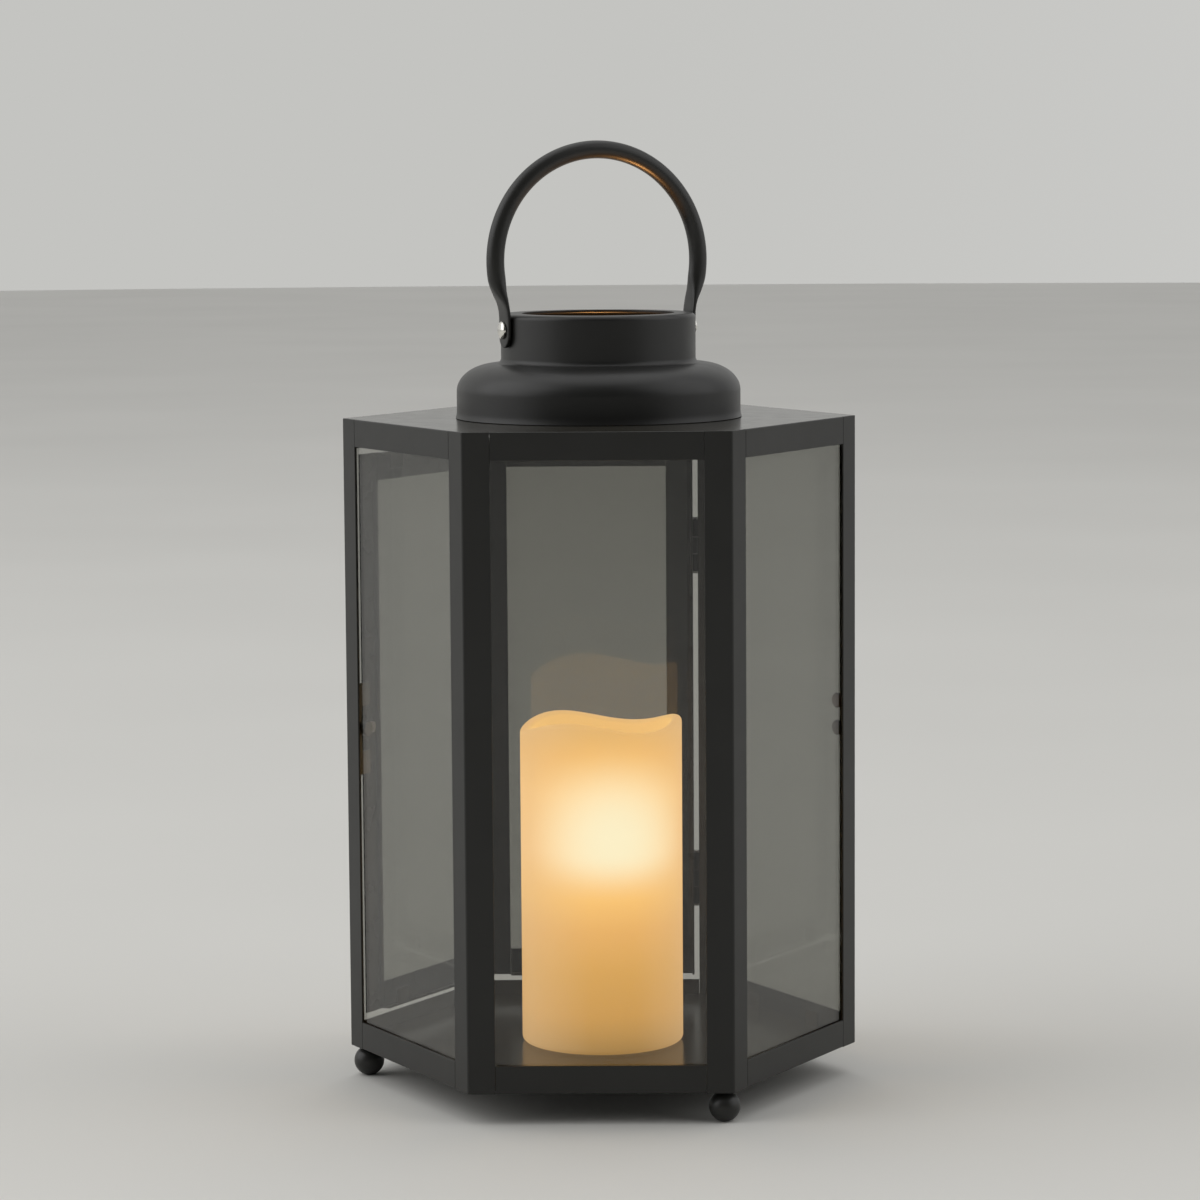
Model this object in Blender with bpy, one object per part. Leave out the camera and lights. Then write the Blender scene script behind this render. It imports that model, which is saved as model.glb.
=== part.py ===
"""Hexagonal sheet-metal lantern with glass faces, a two-panel door and a rechargeable candle.

Metres, +Z up. The origin is on the ground, on the axis of the hexagon. The front face looks
towards -Y. The door covers the back and the back-left face and hinges beside the back-right corner.
"""

import math

import bmesh
import bpy
from mathutils import Matrix, Vector

# Clearances
GAP = 0.0003                    # between pieces that touch
RUNNING = 0.0001                # radial, between a pivot and its hole

# Frame
HEX_SIDE = 0.118                # outside edge of the hexagon
FRAME_HEIGHT = 0.2935           # underside of the bottom rails to the top of the roof
SHEET = 0.001                   # folded sheet of posts, rails and door frame
PLATE = 0.001                   # roof and floor plates
POST_LEG = 0.0122               # each leg of a corner angle
TOP_RAIL_HEIGHT = 0.0125
BOTTOM_RAIL_HEIGHT = 0.0127
HEADER_HEIGHT = 0.0145          # rail above the door
SILL_HEIGHT = 0.0094            # rail under the door
RAIL_FLANGE = 0.008             # inward flange that carries the roof or the floor
TAB_WIDTH = 0.010               # bent tabs that hold the panes
TAB_HEIGHT = 0.007
TAB_SPACING = 0.052

# Glass
PANE = 0.002
PANE_EDGE = 0.0045              # corner line to the edge of a pane

# Roof and collar
VENT_RADIUS = 0.052
COLLAR_WALL = 0.001
COLLAR_HEIGHT = 0.0475
SHOULDER_RADIUS = 0.0652
SHOULDER_STRAIGHT = 0.012       # upright part of the shoulder
SHOULDER_RISE = 0.0127          # curved part above it
NECK_RADIUS = 0.0447
NECK_FILLET = 0.0025
LIP_WIDTH = 0.0097              # outside of the neck to the opening
LIP_ROLL = 0.0022               # outside radius of the rolled rim

# Handle and its rivets
HANDLE_YAW = math.radians(23.7)  # pivot line, turned about Z from the front face
ARCH_BULGE = 0.0045             # centre line of the arch outside that of the straps
ARCH_ABOVE_PIVOT = 0.0310       # arch centre over the pivot line
PIVOT_BELOW_LIP = 0.0070        # pivot line under the rim of the collar
HANDLE_TUBE_RADIUS = 0.0041
STRAP_HALF_WIDTH = 0.00575      # flattened ends
STRAP_THICKNESS = 0.002
STRAP_TAIL = 0.0080             # strap below the pivot line
STRAP_TOP = 0.0090              # end of the fully flat part, above the pivot line
ROUND_FROM = 0.0240             # start of the fully round part, above the pivot line
RIVET_SHANK_RADIUS = 0.002
RIVET_HEAD_RADIUS = 0.004
RIVET_HEAD_HEIGHT = 0.0019
RIVET_TAIL_RADIUS = 0.0034
RIVET_TAIL_HEIGHT = 0.0014

# Ball feet
FOOT_RADIUS = 0.007
FOOT_FLAT_RADIUS = 0.002        # small flat that the lantern stands on
FOOT_INSET = 0.0085             # corner line to the foot's axis
FOOT_NECK_RADIUS = 0.003
FOOT_STUD_RADIUS = 0.0017
FOOT_HEAD_RADIUS = 0.0028
FOOT_HEAD_HEIGHT = 0.0010

# Door
DOOR_SIDE_GAP = 0.0025          # open joint beside the stiles
DOOR_END_GAP = 0.003            # open joint above and below the door
DOOR_FRAME = 0.013              # face width of stiles, rails and corner post
HINGE_PANE_INSET = 0.0027       # hinge stile's outer edge to the pane
LATCH_PANE_OVERLAP = 0.0035     # pane over the latch stile

# Butt hinges
HINGE_LEAF_WIDTH = 0.0095       # hinge axis to the edge of a leaf
HINGE_LEAF_THICKNESS = 0.0008
HINGE_HEIGHT = 0.0254
HINGE_MIDDLE_KNUCKLE = 0.0086
LOWER_HINGE_DISTANCE = 0.0472   # door's lower end to the middle of the hinge
UPPER_HINGE_DISTANCE = 0.052
KNUCKLE_RADIUS = 0.002
HINGE_BORE_RADIUS = 0.001
PIN_HEAD_RADIUS = 0.0016
PIN_HEAD_HEIGHT = 0.0007

# Catch and knob
CATCH_HEIGHT = 0.148            # middle of the catch above the frame's underside
CATCH_LENGTH = 0.043
CATCH_ARM = 0.011               # height of each stop arm
CATCH_REACH = 0.0035            # stop arms behind the latch stile
CATCH_CORNER = 0.0025           # corner line to the bracket
CATCH_EDGE = 0.0005             # bracket's plate inside the edge of the post leg
CATCH_TONGUE = 0.005            # height of the tongue under the magnet
MAGNET_RADIUS = 0.0035
MAGNET_THICKNESS = 0.0025
KNOB_INSET = 0.0053             # latch stile's outer edge to the knob
KNOB_RADIUS = 0.004
KNOB_LENGTH = 0.009
KNOB_NECK_RADIUS = 0.0022
KNOB_BASE_RADIUS = 0.0032
KNOB_BASE_HEIGHT = 0.0008
KNOB_SHANK_RADIUS = 0.0014
KNOB_NUT_RADIUS = 0.0026
KNOB_NUT_HEIGHT = 0.0014

# Candle
CANDLE_RADIUS = 0.0375
CANDLE_HEIGHT = 0.1495          # mean height of the rim
WAX_WALL = 0.005
WAX_FOOT_ROUND = 0.0025
RIM_WAVE = 0.0025               # three waves around the rim
RIM_WAVE_PHASE = math.radians(-22)
RIM_TILT = 0.0012               # one wave around the rim
RIM_TILT_PHASE = math.radians(82)
CORE_LEDGE = 0.0015             # inward step of the bore under the solar bezel
LEDGE_BELOW_RIM = 0.0295        # mean rim to the step
HOUSING_HEIGHT = 0.083
HOUSING_RECESS = 0.001          # housing above the foot of the wax
BAY_RADIUS = 0.0160
BAY_DEPTH = 0.055
BATTERY_COVER_RADIUS = 0.020
BATTERY_COVER_THICKNESS = 0.002
COIN_SLOT_LENGTH = 0.014
COIN_SLOT_WIDTH = 0.002
COIN_SLOT_DEPTH = 0.001
BATTERY_RADIUS = 0.00725
BATTERY_LENGTH = 0.0505
BATTERY_NUB_RADIUS = 0.0025
BATTERY_NUB_HEIGHT = 0.001
SWITCH_WIDTH = 0.0036
SWITCH_LENGTH = 0.005
SWITCH_HEIGHT = 0.0020
SWITCH_TRAVEL = 0.005
SWITCH_PROUD = 0.0003

# Light and solar cell inside the candle
BOARD_THICKNESS = 0.0016
BOARD_CLEARANCE = 0.0010        # board edge to the housing's outside
LED_HOLDER_RADIUS = 0.006
LED_HOLDER_HEIGHT = 0.008
LED_RADIUS = 0.004
LED_HEIGHT = 0.010
BEZEL_HEIGHT = 0.0085
BEZEL_FLOOR = 0.002
BEZEL_WALL = 0.0045
COVER_LEDGE = 0.002             # width of the ledge under the clear cover
COVER_LEDGE_DEPTH = 0.0035
COVER_THICKNESS = 0.0015
WAFER_CLEARANCE = 0.00024       # corners of the square cell to its round pocket
WAFER_THICKNESS = 0.001
LEAD_RADIUS = 0.001
LEAD_TOP_INSET = 0.0067         # housing's side to the lead under the bezel
LEAD_FOOT_INSET = 0.0117        # and on the board

# Derived places
FOOT_CENTRE = math.sqrt(FOOT_RADIUS**2 - FOOT_FLAT_RADIUS**2)
FRAME_BOTTOM = FOOT_CENTRE + FOOT_RADIUS + GAP
FRAME_TOP = FRAME_BOTTOM + FRAME_HEIGHT
APOTHEM = HEX_SIDE * math.sqrt(3) / 2
HALF_SIDE = HEX_SIDE / 2
FLOOR_LOW = FRAME_BOTTOM + SHEET + GAP
FLOOR_TOP = FLOOR_LOW + PLATE
ROOF_LOW = FRAME_TOP - PLATE
ROOF_FLANGE_LOW = ROOF_LOW - GAP - SHEET
PLATE_INSET = SHEET + GAP
PANE_DEPTH = SHEET + GAP        # outer face to the near side of a pane
TAB_DEPTH = PANE_DEPTH + PANE + GAP
DOOR_FLANGE = TAB_DEPTH + SHEET  # depth of the inward return along the door's outer edges
LIP_INNER_RADIUS = NECK_RADIUS - LIP_WIDTH
COLLAR_BOTTOM = FRAME_TOP + GAP
COLLAR_TOP = COLLAR_BOTTOM + COLLAR_HEIGHT
PIVOT_HEIGHT = COLLAR_TOP - PIVOT_BELOW_LIP
STRAP_CENTRE = NECK_RADIUS + GAP + STRAP_THICKNESS / 2
ARCH_RADIUS = STRAP_CENTRE + ARCH_BULGE
DOOR_BOTTOM = FRAME_BOTTOM + SILL_HEIGHT + DOOR_END_GAP
DOOR_TOP = FRAME_TOP - HEADER_HEIGHT - DOOR_END_GAP
STILE_EDGE = HALF_SIDE - POST_LEG - DOOR_SIDE_GAP
STILE_INNER = STILE_EDGE - DOOR_FRAME
HINGE_AXIS_X = -(HALF_SIDE - POST_LEG - DOOR_SIDE_GAP / 2)
HINGE_AXIS_DEPTH = -(KNUCKLE_RADIUS + GAP)
CANDLE_BOTTOM = FLOOR_TOP + GAP
RIM_MEAN = CANDLE_BOTTOM + CANDLE_HEIGHT
BORE_RADIUS = CANDLE_RADIUS - WAX_WALL
LEDGE_HEIGHT = RIM_MEAN - LEDGE_BELOW_RIM
HOUSING_BOTTOM = CANDLE_BOTTOM + HOUSING_RECESS
HOUSING_RADIUS = BORE_RADIUS - CORE_LEDGE - GAP
HOUSING_TOP = HOUSING_BOTTOM + HOUSING_HEIGHT
SWITCH_DISTANCE = (BATTERY_COVER_RADIUS + GAP + HOUSING_RADIUS) / 2
COVER_RECESS_TOP = HOUSING_BOTTOM + BATTERY_COVER_THICKNESS + GAP
BOARD_LOW = HOUSING_TOP + GAP
BOARD_TOP = BOARD_LOW + BOARD_THICKNESS
BEZEL_LOW = LEDGE_HEIGHT + GAP
BEZEL_RADIUS = BORE_RADIUS - GAP

CORNERS = {
    "front_left": (-HALF_SIDE, -APOTHEM),
    "front_right": (HALF_SIDE, -APOTHEM),
    "right": (HEX_SIDE, 0.0),
    "back_right": (HALF_SIDE, APOTHEM),
    "back_left": (-HALF_SIDE, APOTHEM),
    "left": (-HEX_SIDE, 0.0),
}
# Each face lies between two corners, taken anticlockwise from above.
FACES = {
    "front": ("front_left", "front_right"),
    "front_right": ("front_right", "right"),
    "back_right": ("right", "back_right"),
    "back": ("back_right", "back_left"),
    "back_left": ("back_left", "left"),
    "front_left": ("left", "front_left"),
}
FIXED_FACES = ("front", "front_right", "back_right", "front_left")
FIXED_CORNERS = ("front_left", "front_right", "right", "back_right", "left")
FOOT_CORNERS = ("left", "front_right", "back_right")
# Which end of each door face meets the door's corner post: +1 is the end of the face, -1 its start.
DOOR_FACES = {"back": 1, "back_left": -1}


def material(name, colour, roughness, metallic=0.0, transmission=0.0):
    """One Principled material; the colour is linear RGB."""
    made = bpy.data.materials.new(name)
    made.use_nodes = True
    shader = made.node_tree.nodes["Principled BSDF"]
    shader.inputs["Base Color"].default_value = (*colour, 1.0)
    shader.inputs["Roughness"].default_value = roughness
    shader.inputs["Metallic"].default_value = metallic
    shader.inputs["Transmission Weight"].default_value = transmission
    made.diffuse_color = (*colour, 1.0)
    return made


def frame_at(place, across, inward):
    """Frame at a place with the given X and Y directions and Z = X x Y."""
    turn = Matrix((across, inward, across.cross(inward))).transposed().to_4x4()
    return Matrix.Translation(place) @ turn


def face_matrix(face):
    """Frame of one face: origin at its middle, X along it, Y inwards, Z up."""
    start, end = (Vector((*CORNERS[corner], 0.0)) for corner in FACES[face])
    along = (end - start).normalized()
    return frame_at((start + end) / 2, along, Vector((-along.y, along.x, 0.0)))


def outward_matrix(face):
    """Frame of one face with X along it, Y up and Z outwards."""
    return face_matrix(face) @ Matrix.Rotation(math.radians(90), 4, "X")


def corner_matrix(corner):
    """Frame of one corner: origin on the corner line, Y along the bisector inwards, Z up."""
    place = Vector((*CORNERS[corner], 0.0))
    inward = -place.normalized()
    return frame_at(place, Vector((inward.y, -inward.x, 0.0)), inward)


def pivot_matrix(side):
    """Frame on the handle's pivot line, at the lantern's axis: Z outwards to one side (-1 or 1)."""
    outward = Vector((math.cos(HANDLE_YAW), math.sin(HANDLE_YAW), 0.0)) * side
    up = Vector((0.0, 0.0, 1.0))
    return frame_at(Vector((0.0, 0.0, PIVOT_HEIGHT)), up, outward.cross(up))


def finish(name, bm, look, matrix, smooth=False):
    """Turn a bmesh into a named object with outward faces."""
    bmesh.ops.recalc_face_normals(bm, faces=bm.faces)
    mesh = bpy.data.meshes.new(name)
    bm.to_mesh(mesh)
    bm.free()
    mesh.materials.append(look)
    if smooth:
        mesh.shade_smooth()
        mesh.set_sharp_from_angle(angle=math.radians(35))
    made = bpy.data.objects.new(name, mesh)
    bpy.context.scene.collection.objects.link(made)
    made.matrix_world = matrix
    return made


def prism(name, outline, low, high, look=None, matrix=Matrix()):
    """Extrude a closed outline in local XY from height low to height high."""
    bm = bmesh.new()
    base = bm.faces.new([bm.verts.new((x, y, low)) for x, y in outline])
    moved = bmesh.ops.extrude_face_region(bm, geom=[base])["geom"]
    tops = [item for item in moved if isinstance(item, bmesh.types.BMVert)]
    bmesh.ops.translate(bm, verts=tops, vec=(0.0, 0.0, high - low))
    return finish(name, bm, look, matrix)


def block(name, low, high, look=None, matrix=Matrix()):
    """Box between two opposite corners in local coordinates."""
    outline = [(low[0], low[1]), (high[0], low[1]), (high[0], high[1]), (low[0], high[1])]
    return prism(name, outline, low[2], high[2], look, matrix)


def turned(name, profile, sides, look=None, matrix=Matrix()):
    """Solid of revolution about local Z from (radius, height) points.

    A profile that starts and ends at radius 0 closes on the axis; any other is a closed ring.
    """
    bm = bmesh.new()
    verts = [bm.verts.new((radius, 0.0, height)) for radius, height in profile]
    edges = [bm.edges.new(pair) for pair in zip(verts, verts[1:])]
    if profile[0][0] > 0:
        edges.append(bm.edges.new((verts[-1], verts[0])))
    bmesh.ops.spin(bm, geom=verts + edges, cent=(0, 0, 0), axis=(0, 0, 1),
                   angle=math.tau, steps=sides, use_merge=True)
    bmesh.ops.remove_doubles(bm, verts=bm.verts, dist=1e-6)
    return finish(name, bm, look, matrix, smooth=True)


def arc(centre, radii, start, end, steps):
    """Points on an ellipse with the given (across, up) radii; angles in degrees."""
    angles = [math.radians(start + (end - start) * i / steps) for i in range(steps + 1)]
    return [(centre[0] + radii[0] * math.cos(a), centre[1] + radii[1] * math.sin(a))
            for a in angles]


def combine(target, guide, operation):
    """Boolean with a guide object that stays hidden."""
    modifier = target.modifiers.new(guide.name, "BOOLEAN")
    modifier.operation = operation
    modifier.solver = "EXACT"
    modifier.object = guide
    guide.hide_render = True
    guide.display_type = "WIRE"


def drill(target, radius, low, high, matrix=Matrix(), sides=24):
    """Round hole along local Z of the matrix."""
    profile = [(0.0, high), (radius, high), (radius, low), (0.0, low)]
    combine(target, turned(target.name + "_drill", profile, sides, matrix=matrix), "DIFFERENCE")


def notch(target, low, high, matrix=Matrix()):
    """Box-shaped cut."""
    combine(target, block(target.name + "_notch", low, high, matrix=matrix), "DIFFERENCE")


def add_tabs(target, face, middle, low, high):
    """Two bent tabs behind a pane, joined to a flange or a plate."""
    for side in (-1, 1):
        centre = middle + side * TAB_SPACING / 2
        tab = block(target.name + "_tab", (centre - TAB_WIDTH / 2, TAB_DEPTH, low),
                    (centre + TAB_WIDTH / 2, TAB_DEPTH + SHEET, high), matrix=face_matrix(face))
        combine(target, tab, "UNION")


def angle_outline(leg):
    """120 degree angle in corner coordinates, its outside corner at the origin."""
    along = Vector((math.sin(math.radians(60)), math.cos(math.radians(60))))
    inward = Vector((-along.y, along.x))
    end = along * leg
    inner_end = end + inward * SHEET
    inner_corner = (0.0, SHEET / math.sin(math.radians(60)))
    return [(0.0, 0.0), (end.x, end.y), (inner_end.x, inner_end.y), inner_corner,
            (-inner_end.x, inner_end.y), (-end.x, end.y)]


def hexagon(inset):
    """Outline of the hexagon moved inwards by inset."""
    scale = (APOTHEM - inset) / APOTHEM
    return [(x * scale, y * scale) for x, y in CORNERS.values()]


def rail(name, face, span, heights, flange_low, flange_depth, look, mitre=0):
    """Sheet strip along a face with an inward flange.

    span is its start and end along the face. mitre is the end, -1 or 1, that is cut on the
    bisector of its corner.
    """
    low, high = heights
    section = [(0.0, low), (SHEET, low), (SHEET, flange_low), (flange_depth, flange_low),
               (flange_depth, flange_low + SHEET), (SHEET, flange_low + SHEET), (SHEET, high),
               (0.0, high)]
    # a flange flush with an edge leaves points on a straight line, or twice in one place
    if flange_low == low:
        del section[1:3]
    if flange_low + SHEET == high:
        del section[-3:-1]
    bm = bmesh.new()
    base = bm.faces.new([bm.verts.new((span[0], depth, height)) for depth, height in section])
    moved = bmesh.ops.extrude_face_region(bm, geom=[base])["geom"]
    ends = [item for item in moved if isinstance(item, bmesh.types.BMVert)]
    bmesh.ops.translate(bm, verts=ends, vec=(span[1] - span[0], 0.0, 0.0))
    if mitre:
        normal = Vector((mitre * math.cos(math.radians(30)), math.sin(math.radians(30)), 0.0))
        place = Vector((mitre * HALF_SIDE, 0.0, 0.0)) - normal * GAP / 2
        cut = bmesh.ops.bisect_plane(bm, geom=bm.verts[:] + bm.edges[:] + bm.faces[:],
                                     plane_co=place, plane_no=normal, clear_outer=True)
        rim = [item for item in cut["geom_cut"] if isinstance(item, bmesh.types.BMEdge)]
        bmesh.ops.edgeloop_fill(bm, edges=rim)
    return finish(name, bm, look, face_matrix(face))


def build_frame(paint):
    """Posts, rails, headers, sills, roof and floor."""
    for corner in FIXED_CORNERS:
        prism(f"post_{corner}", angle_outline(POST_LEG), FRAME_BOTTOM, FRAME_TOP, paint,
              corner_matrix(corner))
    end = HALF_SIDE - POST_LEG - GAP
    for face in FIXED_FACES:
        top = rail(f"top_rail_{face}", face, (-end, end), (FRAME_TOP - TOP_RAIL_HEIGHT, FRAME_TOP),
                   ROOF_FLANGE_LOW, RAIL_FLANGE, paint)
        add_tabs(top, face, 0.0, ROOF_FLANGE_LOW - TAB_HEIGHT, ROOF_FLANGE_LOW + SHEET / 2)
        rail(f"bottom_rail_{face}", face, (-end, end),
             (FRAME_BOTTOM, FRAME_BOTTOM + BOTTOM_RAIL_HEIGHT), FRAME_BOTTOM, RAIL_FLANGE, paint)
    for face, meet in DOOR_FACES.items():
        span = sorted((-meet * end, meet * HALF_SIDE))
        rail(f"header_{face}", face, span, (FRAME_TOP - HEADER_HEIGHT, FRAME_TOP),
             ROOF_FLANGE_LOW, RAIL_FLANGE, paint, mitre=meet)
        rail(f"sill_{face}", face, span, (FRAME_BOTTOM, FRAME_BOTTOM + SILL_HEIGHT),
             FRAME_BOTTOM, RAIL_FLANGE, paint, mitre=meet)

    roof = prism("roof_plate", hexagon(PLATE_INSET), ROOF_LOW, FRAME_TOP, paint)
    drill(roof, VENT_RADIUS, ROOF_LOW - PLATE, FRAME_TOP + PLATE, sides=48)

    floor = prism("floor_plate", hexagon(PLATE_INSET), FLOOR_LOW, FLOOR_TOP, paint)
    for corner in FOOT_CORNERS:
        drill(floor, FOOT_STUD_RADIUS + GAP, FLOOR_LOW - PLATE, FLOOR_TOP + PLATE,
              foot_matrix(corner), sides=16)
    for face in FIXED_FACES:
        add_tabs(floor, face, 0.0, FLOOR_LOW + PLATE / 2, FLOOR_TOP + TAB_HEIGHT)


def build_panes(glass):
    """Fixed panes, against the inside of posts and rails."""
    edge = HALF_SIDE - PANE_EDGE
    for face in FIXED_FACES:
        block(f"pane_{face}", (-edge, PANE_DEPTH, FLOOR_TOP + GAP),
              (edge, PANE_DEPTH + PANE, ROOF_FLANGE_LOW - GAP), glass, face_matrix(face))


def foot_matrix(corner):
    """Upright axis of the foot under a corner."""
    return corner_matrix(corner) @ Matrix.Translation((0.0, FOOT_INSET, 0.0))


def build_feet(paint):
    """Turned balls with a neck and a riveted stud through the floor plate."""
    flat = math.degrees(math.asin(FOOT_CENTRE / FOOT_RADIUS))
    neck = math.degrees(math.acos(FOOT_NECK_RADIUS / FOOT_RADIUS))
    head = FLOOR_TOP + GAP
    profile = [(0.0, head + FOOT_HEAD_HEIGHT), (FOOT_HEAD_RADIUS * 0.7, head + FOOT_HEAD_HEIGHT),
               (FOOT_HEAD_RADIUS, head + FOOT_HEAD_HEIGHT / 2), (FOOT_HEAD_RADIUS, head),
               (FOOT_STUD_RADIUS, head), (FOOT_STUD_RADIUS, FLOOR_LOW - GAP),
               (FOOT_NECK_RADIUS, FLOOR_LOW - GAP)]
    profile += arc((0.0, FOOT_CENTRE), (FOOT_RADIUS, FOOT_RADIUS), neck, -flat, 10)
    profile.append((0.0, 0.0))
    for corner in FOOT_CORNERS:
        turned(f"foot_{corner}", profile, 24, paint, foot_matrix(corner))


def build_collar(paint):
    """Spun shoulder and neck in one sheet, with an inward rolled lip and two rivet holes."""
    bend = (NECK_RADIUS + NECK_FILLET, COLLAR_BOTTOM + SHOULDER_STRAIGHT)
    shoulder = (SHOULDER_RADIUS - bend[0], SHOULDER_RISE)
    fillet = (bend[0], bend[1] + SHOULDER_RISE + NECK_FILLET)
    roll = (NECK_RADIUS - LIP_ROLL, COLLAR_TOP - LIP_ROLL)
    wall = COLLAR_WALL
    outside = [(LIP_INNER_RADIUS, COLLAR_TOP)]
    outside += arc(roll, (LIP_ROLL, LIP_ROLL), 90, 0, 4)
    outside += arc(fillet, (NECK_FILLET, NECK_FILLET), 180, 270, 4)
    outside += arc(bend, shoulder, 90, 0, 9)[1:]
    outside.append((SHOULDER_RADIUS, COLLAR_BOTTOM))
    inside = [(SHOULDER_RADIUS - wall, COLLAR_BOTTOM)]
    inside += arc(bend, (shoulder[0] - wall, shoulder[1] - wall), 0, 90, 7)
    inside += arc(fillet, (NECK_FILLET + wall, NECK_FILLET + wall), 270, 180, 3)[1:]
    inside += arc(roll, (LIP_ROLL - wall, LIP_ROLL - wall), 0, 90, 2)
    inside.append((LIP_INNER_RADIUS, COLLAR_TOP - wall))
    collar = turned("collar", outside + inside, 56, paint)
    reach = NECK_RADIUS + COLLAR_WALL
    drill(collar, RIVET_SHANK_RADIUS + RUNNING, -reach, reach, pivot_matrix(1))


def handle_stations():
    """Centre line of the handle from one strap end to the other.

    Each station is (across, up, share of flattening, half width), from the pivot line.
    """
    round_centre = STRAP_HALF_WIDTH - STRAP_TAIL
    strap = []
    for i in range(6):
        turn = math.radians(90 * (i + 0.6) / 6)
        strap.append((round_centre - STRAP_HALF_WIDTH * math.cos(turn),
                      STRAP_HALF_WIDTH * math.sin(turn)))
    strap += [(round_centre, STRAP_HALF_WIDTH), (STRAP_TOP / 2, STRAP_HALF_WIDTH),
              (STRAP_TOP * 0.8, STRAP_HALF_WIDTH)]
    half = [(STRAP_CENTRE, up, 1.0, width) for up, width in strap]
    lowest = math.asin((STRAP_TOP * 1.25 - ARCH_ABOVE_PIVOT) / ARCH_RADIUS)
    steps = 24
    for i in range(steps):
        angle = lowest + (math.pi / 2 - lowest) * i / steps
        up = ARCH_ABOVE_PIVOT + ARCH_RADIUS * math.sin(angle)
        share = min(max((ROUND_FROM - up) / (ROUND_FROM - STRAP_TOP), 0.0), 1.0)
        flat = share * share * (3 - 2 * share)
        width = HANDLE_TUBE_RADIUS + (STRAP_HALF_WIDTH - HANDLE_TUBE_RADIUS) * flat
        half.append((ARCH_RADIUS * math.cos(angle), up, flat, width))
    top = (0.0, ARCH_ABOVE_PIVOT + ARCH_RADIUS, 0.0, HANDLE_TUBE_RADIUS)
    return half + [top] + [(-across, up, flat, width) for across, up, flat, width in half[::-1]]


def build_handle(paint):
    """Bent tube, pressed flat at both ends and drilled for the rivets."""
    stations = handle_stations()
    sides = 20
    bm = bmesh.new()
    rings = []
    for i, (across, up, flat, width) in enumerate(stations):
        before = stations[max(i - 1, 0)]
        after = stations[min(i + 1, len(stations) - 1)]
        along = Vector((after[0] - before[0], after[1] - before[1])).normalized()
        thick = HANDLE_TUBE_RADIUS + (STRAP_THICKNESS / 2 - HANDLE_TUBE_RADIUS) * flat
        power = 1.0 - 0.55 * flat
        ring = []
        for k in range(sides):
            turn = math.tau * k / sides
            c, s = math.cos(turn), math.sin(turn)
            wide = width * math.copysign(abs(c) ** power, c)
            deep = thick * math.copysign(abs(s) ** power, s)
            # local X is up, Y along the swing, Z along the pivot line
            ring.append(bm.verts.new((up + along.x * deep, wide, across - along.y * deep)))
        rings.append(ring)
    for ring, following in zip(rings, rings[1:]):
        for k in range(sides):
            n = (k + 1) % sides
            bm.faces.new((ring[k], ring[n], following[n], following[k]))
    bm.faces.new(rings[0][::-1])
    bm.faces.new(rings[-1])
    handle = finish("handle", bm, paint, pivot_matrix(1), smooth=True)
    reach = STRAP_CENTRE + STRAP_THICKNESS
    drill(handle, RIVET_SHANK_RADIUS + RUNNING, -reach, reach, pivot_matrix(1))
    return handle


def build_rivets(nickel):
    """Domed screw rivets through the strap and the collar wall."""
    head = STRAP_CENTRE + STRAP_THICKNESS / 2 + GAP
    tail = NECK_RADIUS - COLLAR_WALL - GAP
    rim = head + RIVET_HEAD_HEIGHT * 0.25
    dome = arc((0.0, rim), (RIVET_HEAD_RADIUS, head + RIVET_HEAD_HEIGHT - rim), 90, 0, 5)
    profile = [(0.0, dome[0][1])] + dome[1:]
    profile += [(RIVET_HEAD_RADIUS, head), (RIVET_SHANK_RADIUS, head), (RIVET_SHANK_RADIUS, tail),
                (RIVET_TAIL_RADIUS, tail), (RIVET_TAIL_RADIUS, tail - RIVET_TAIL_HEIGHT),
                (0.0, tail - RIVET_TAIL_HEIGHT)]
    for side, name in ((-1, "handle_rivet_left"), (1, "handle_rivet_right")):
        turned(name, profile, 24, nickel, pivot_matrix(side))


def stile(name, face, edge, look):
    """Door stile; edge is its section along the outer edge, from the inside to the outside."""
    meet = DOOR_FACES[face]
    outline = [(STILE_EDGE, 0.0), (STILE_INNER, 0.0), (STILE_INNER, SHEET)] + edge
    return prism(name, [(-meet * x, depth) for x, depth in outline], DOOR_BOTTOM, DOOR_TOP, look,
                 face_matrix(face))


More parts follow.
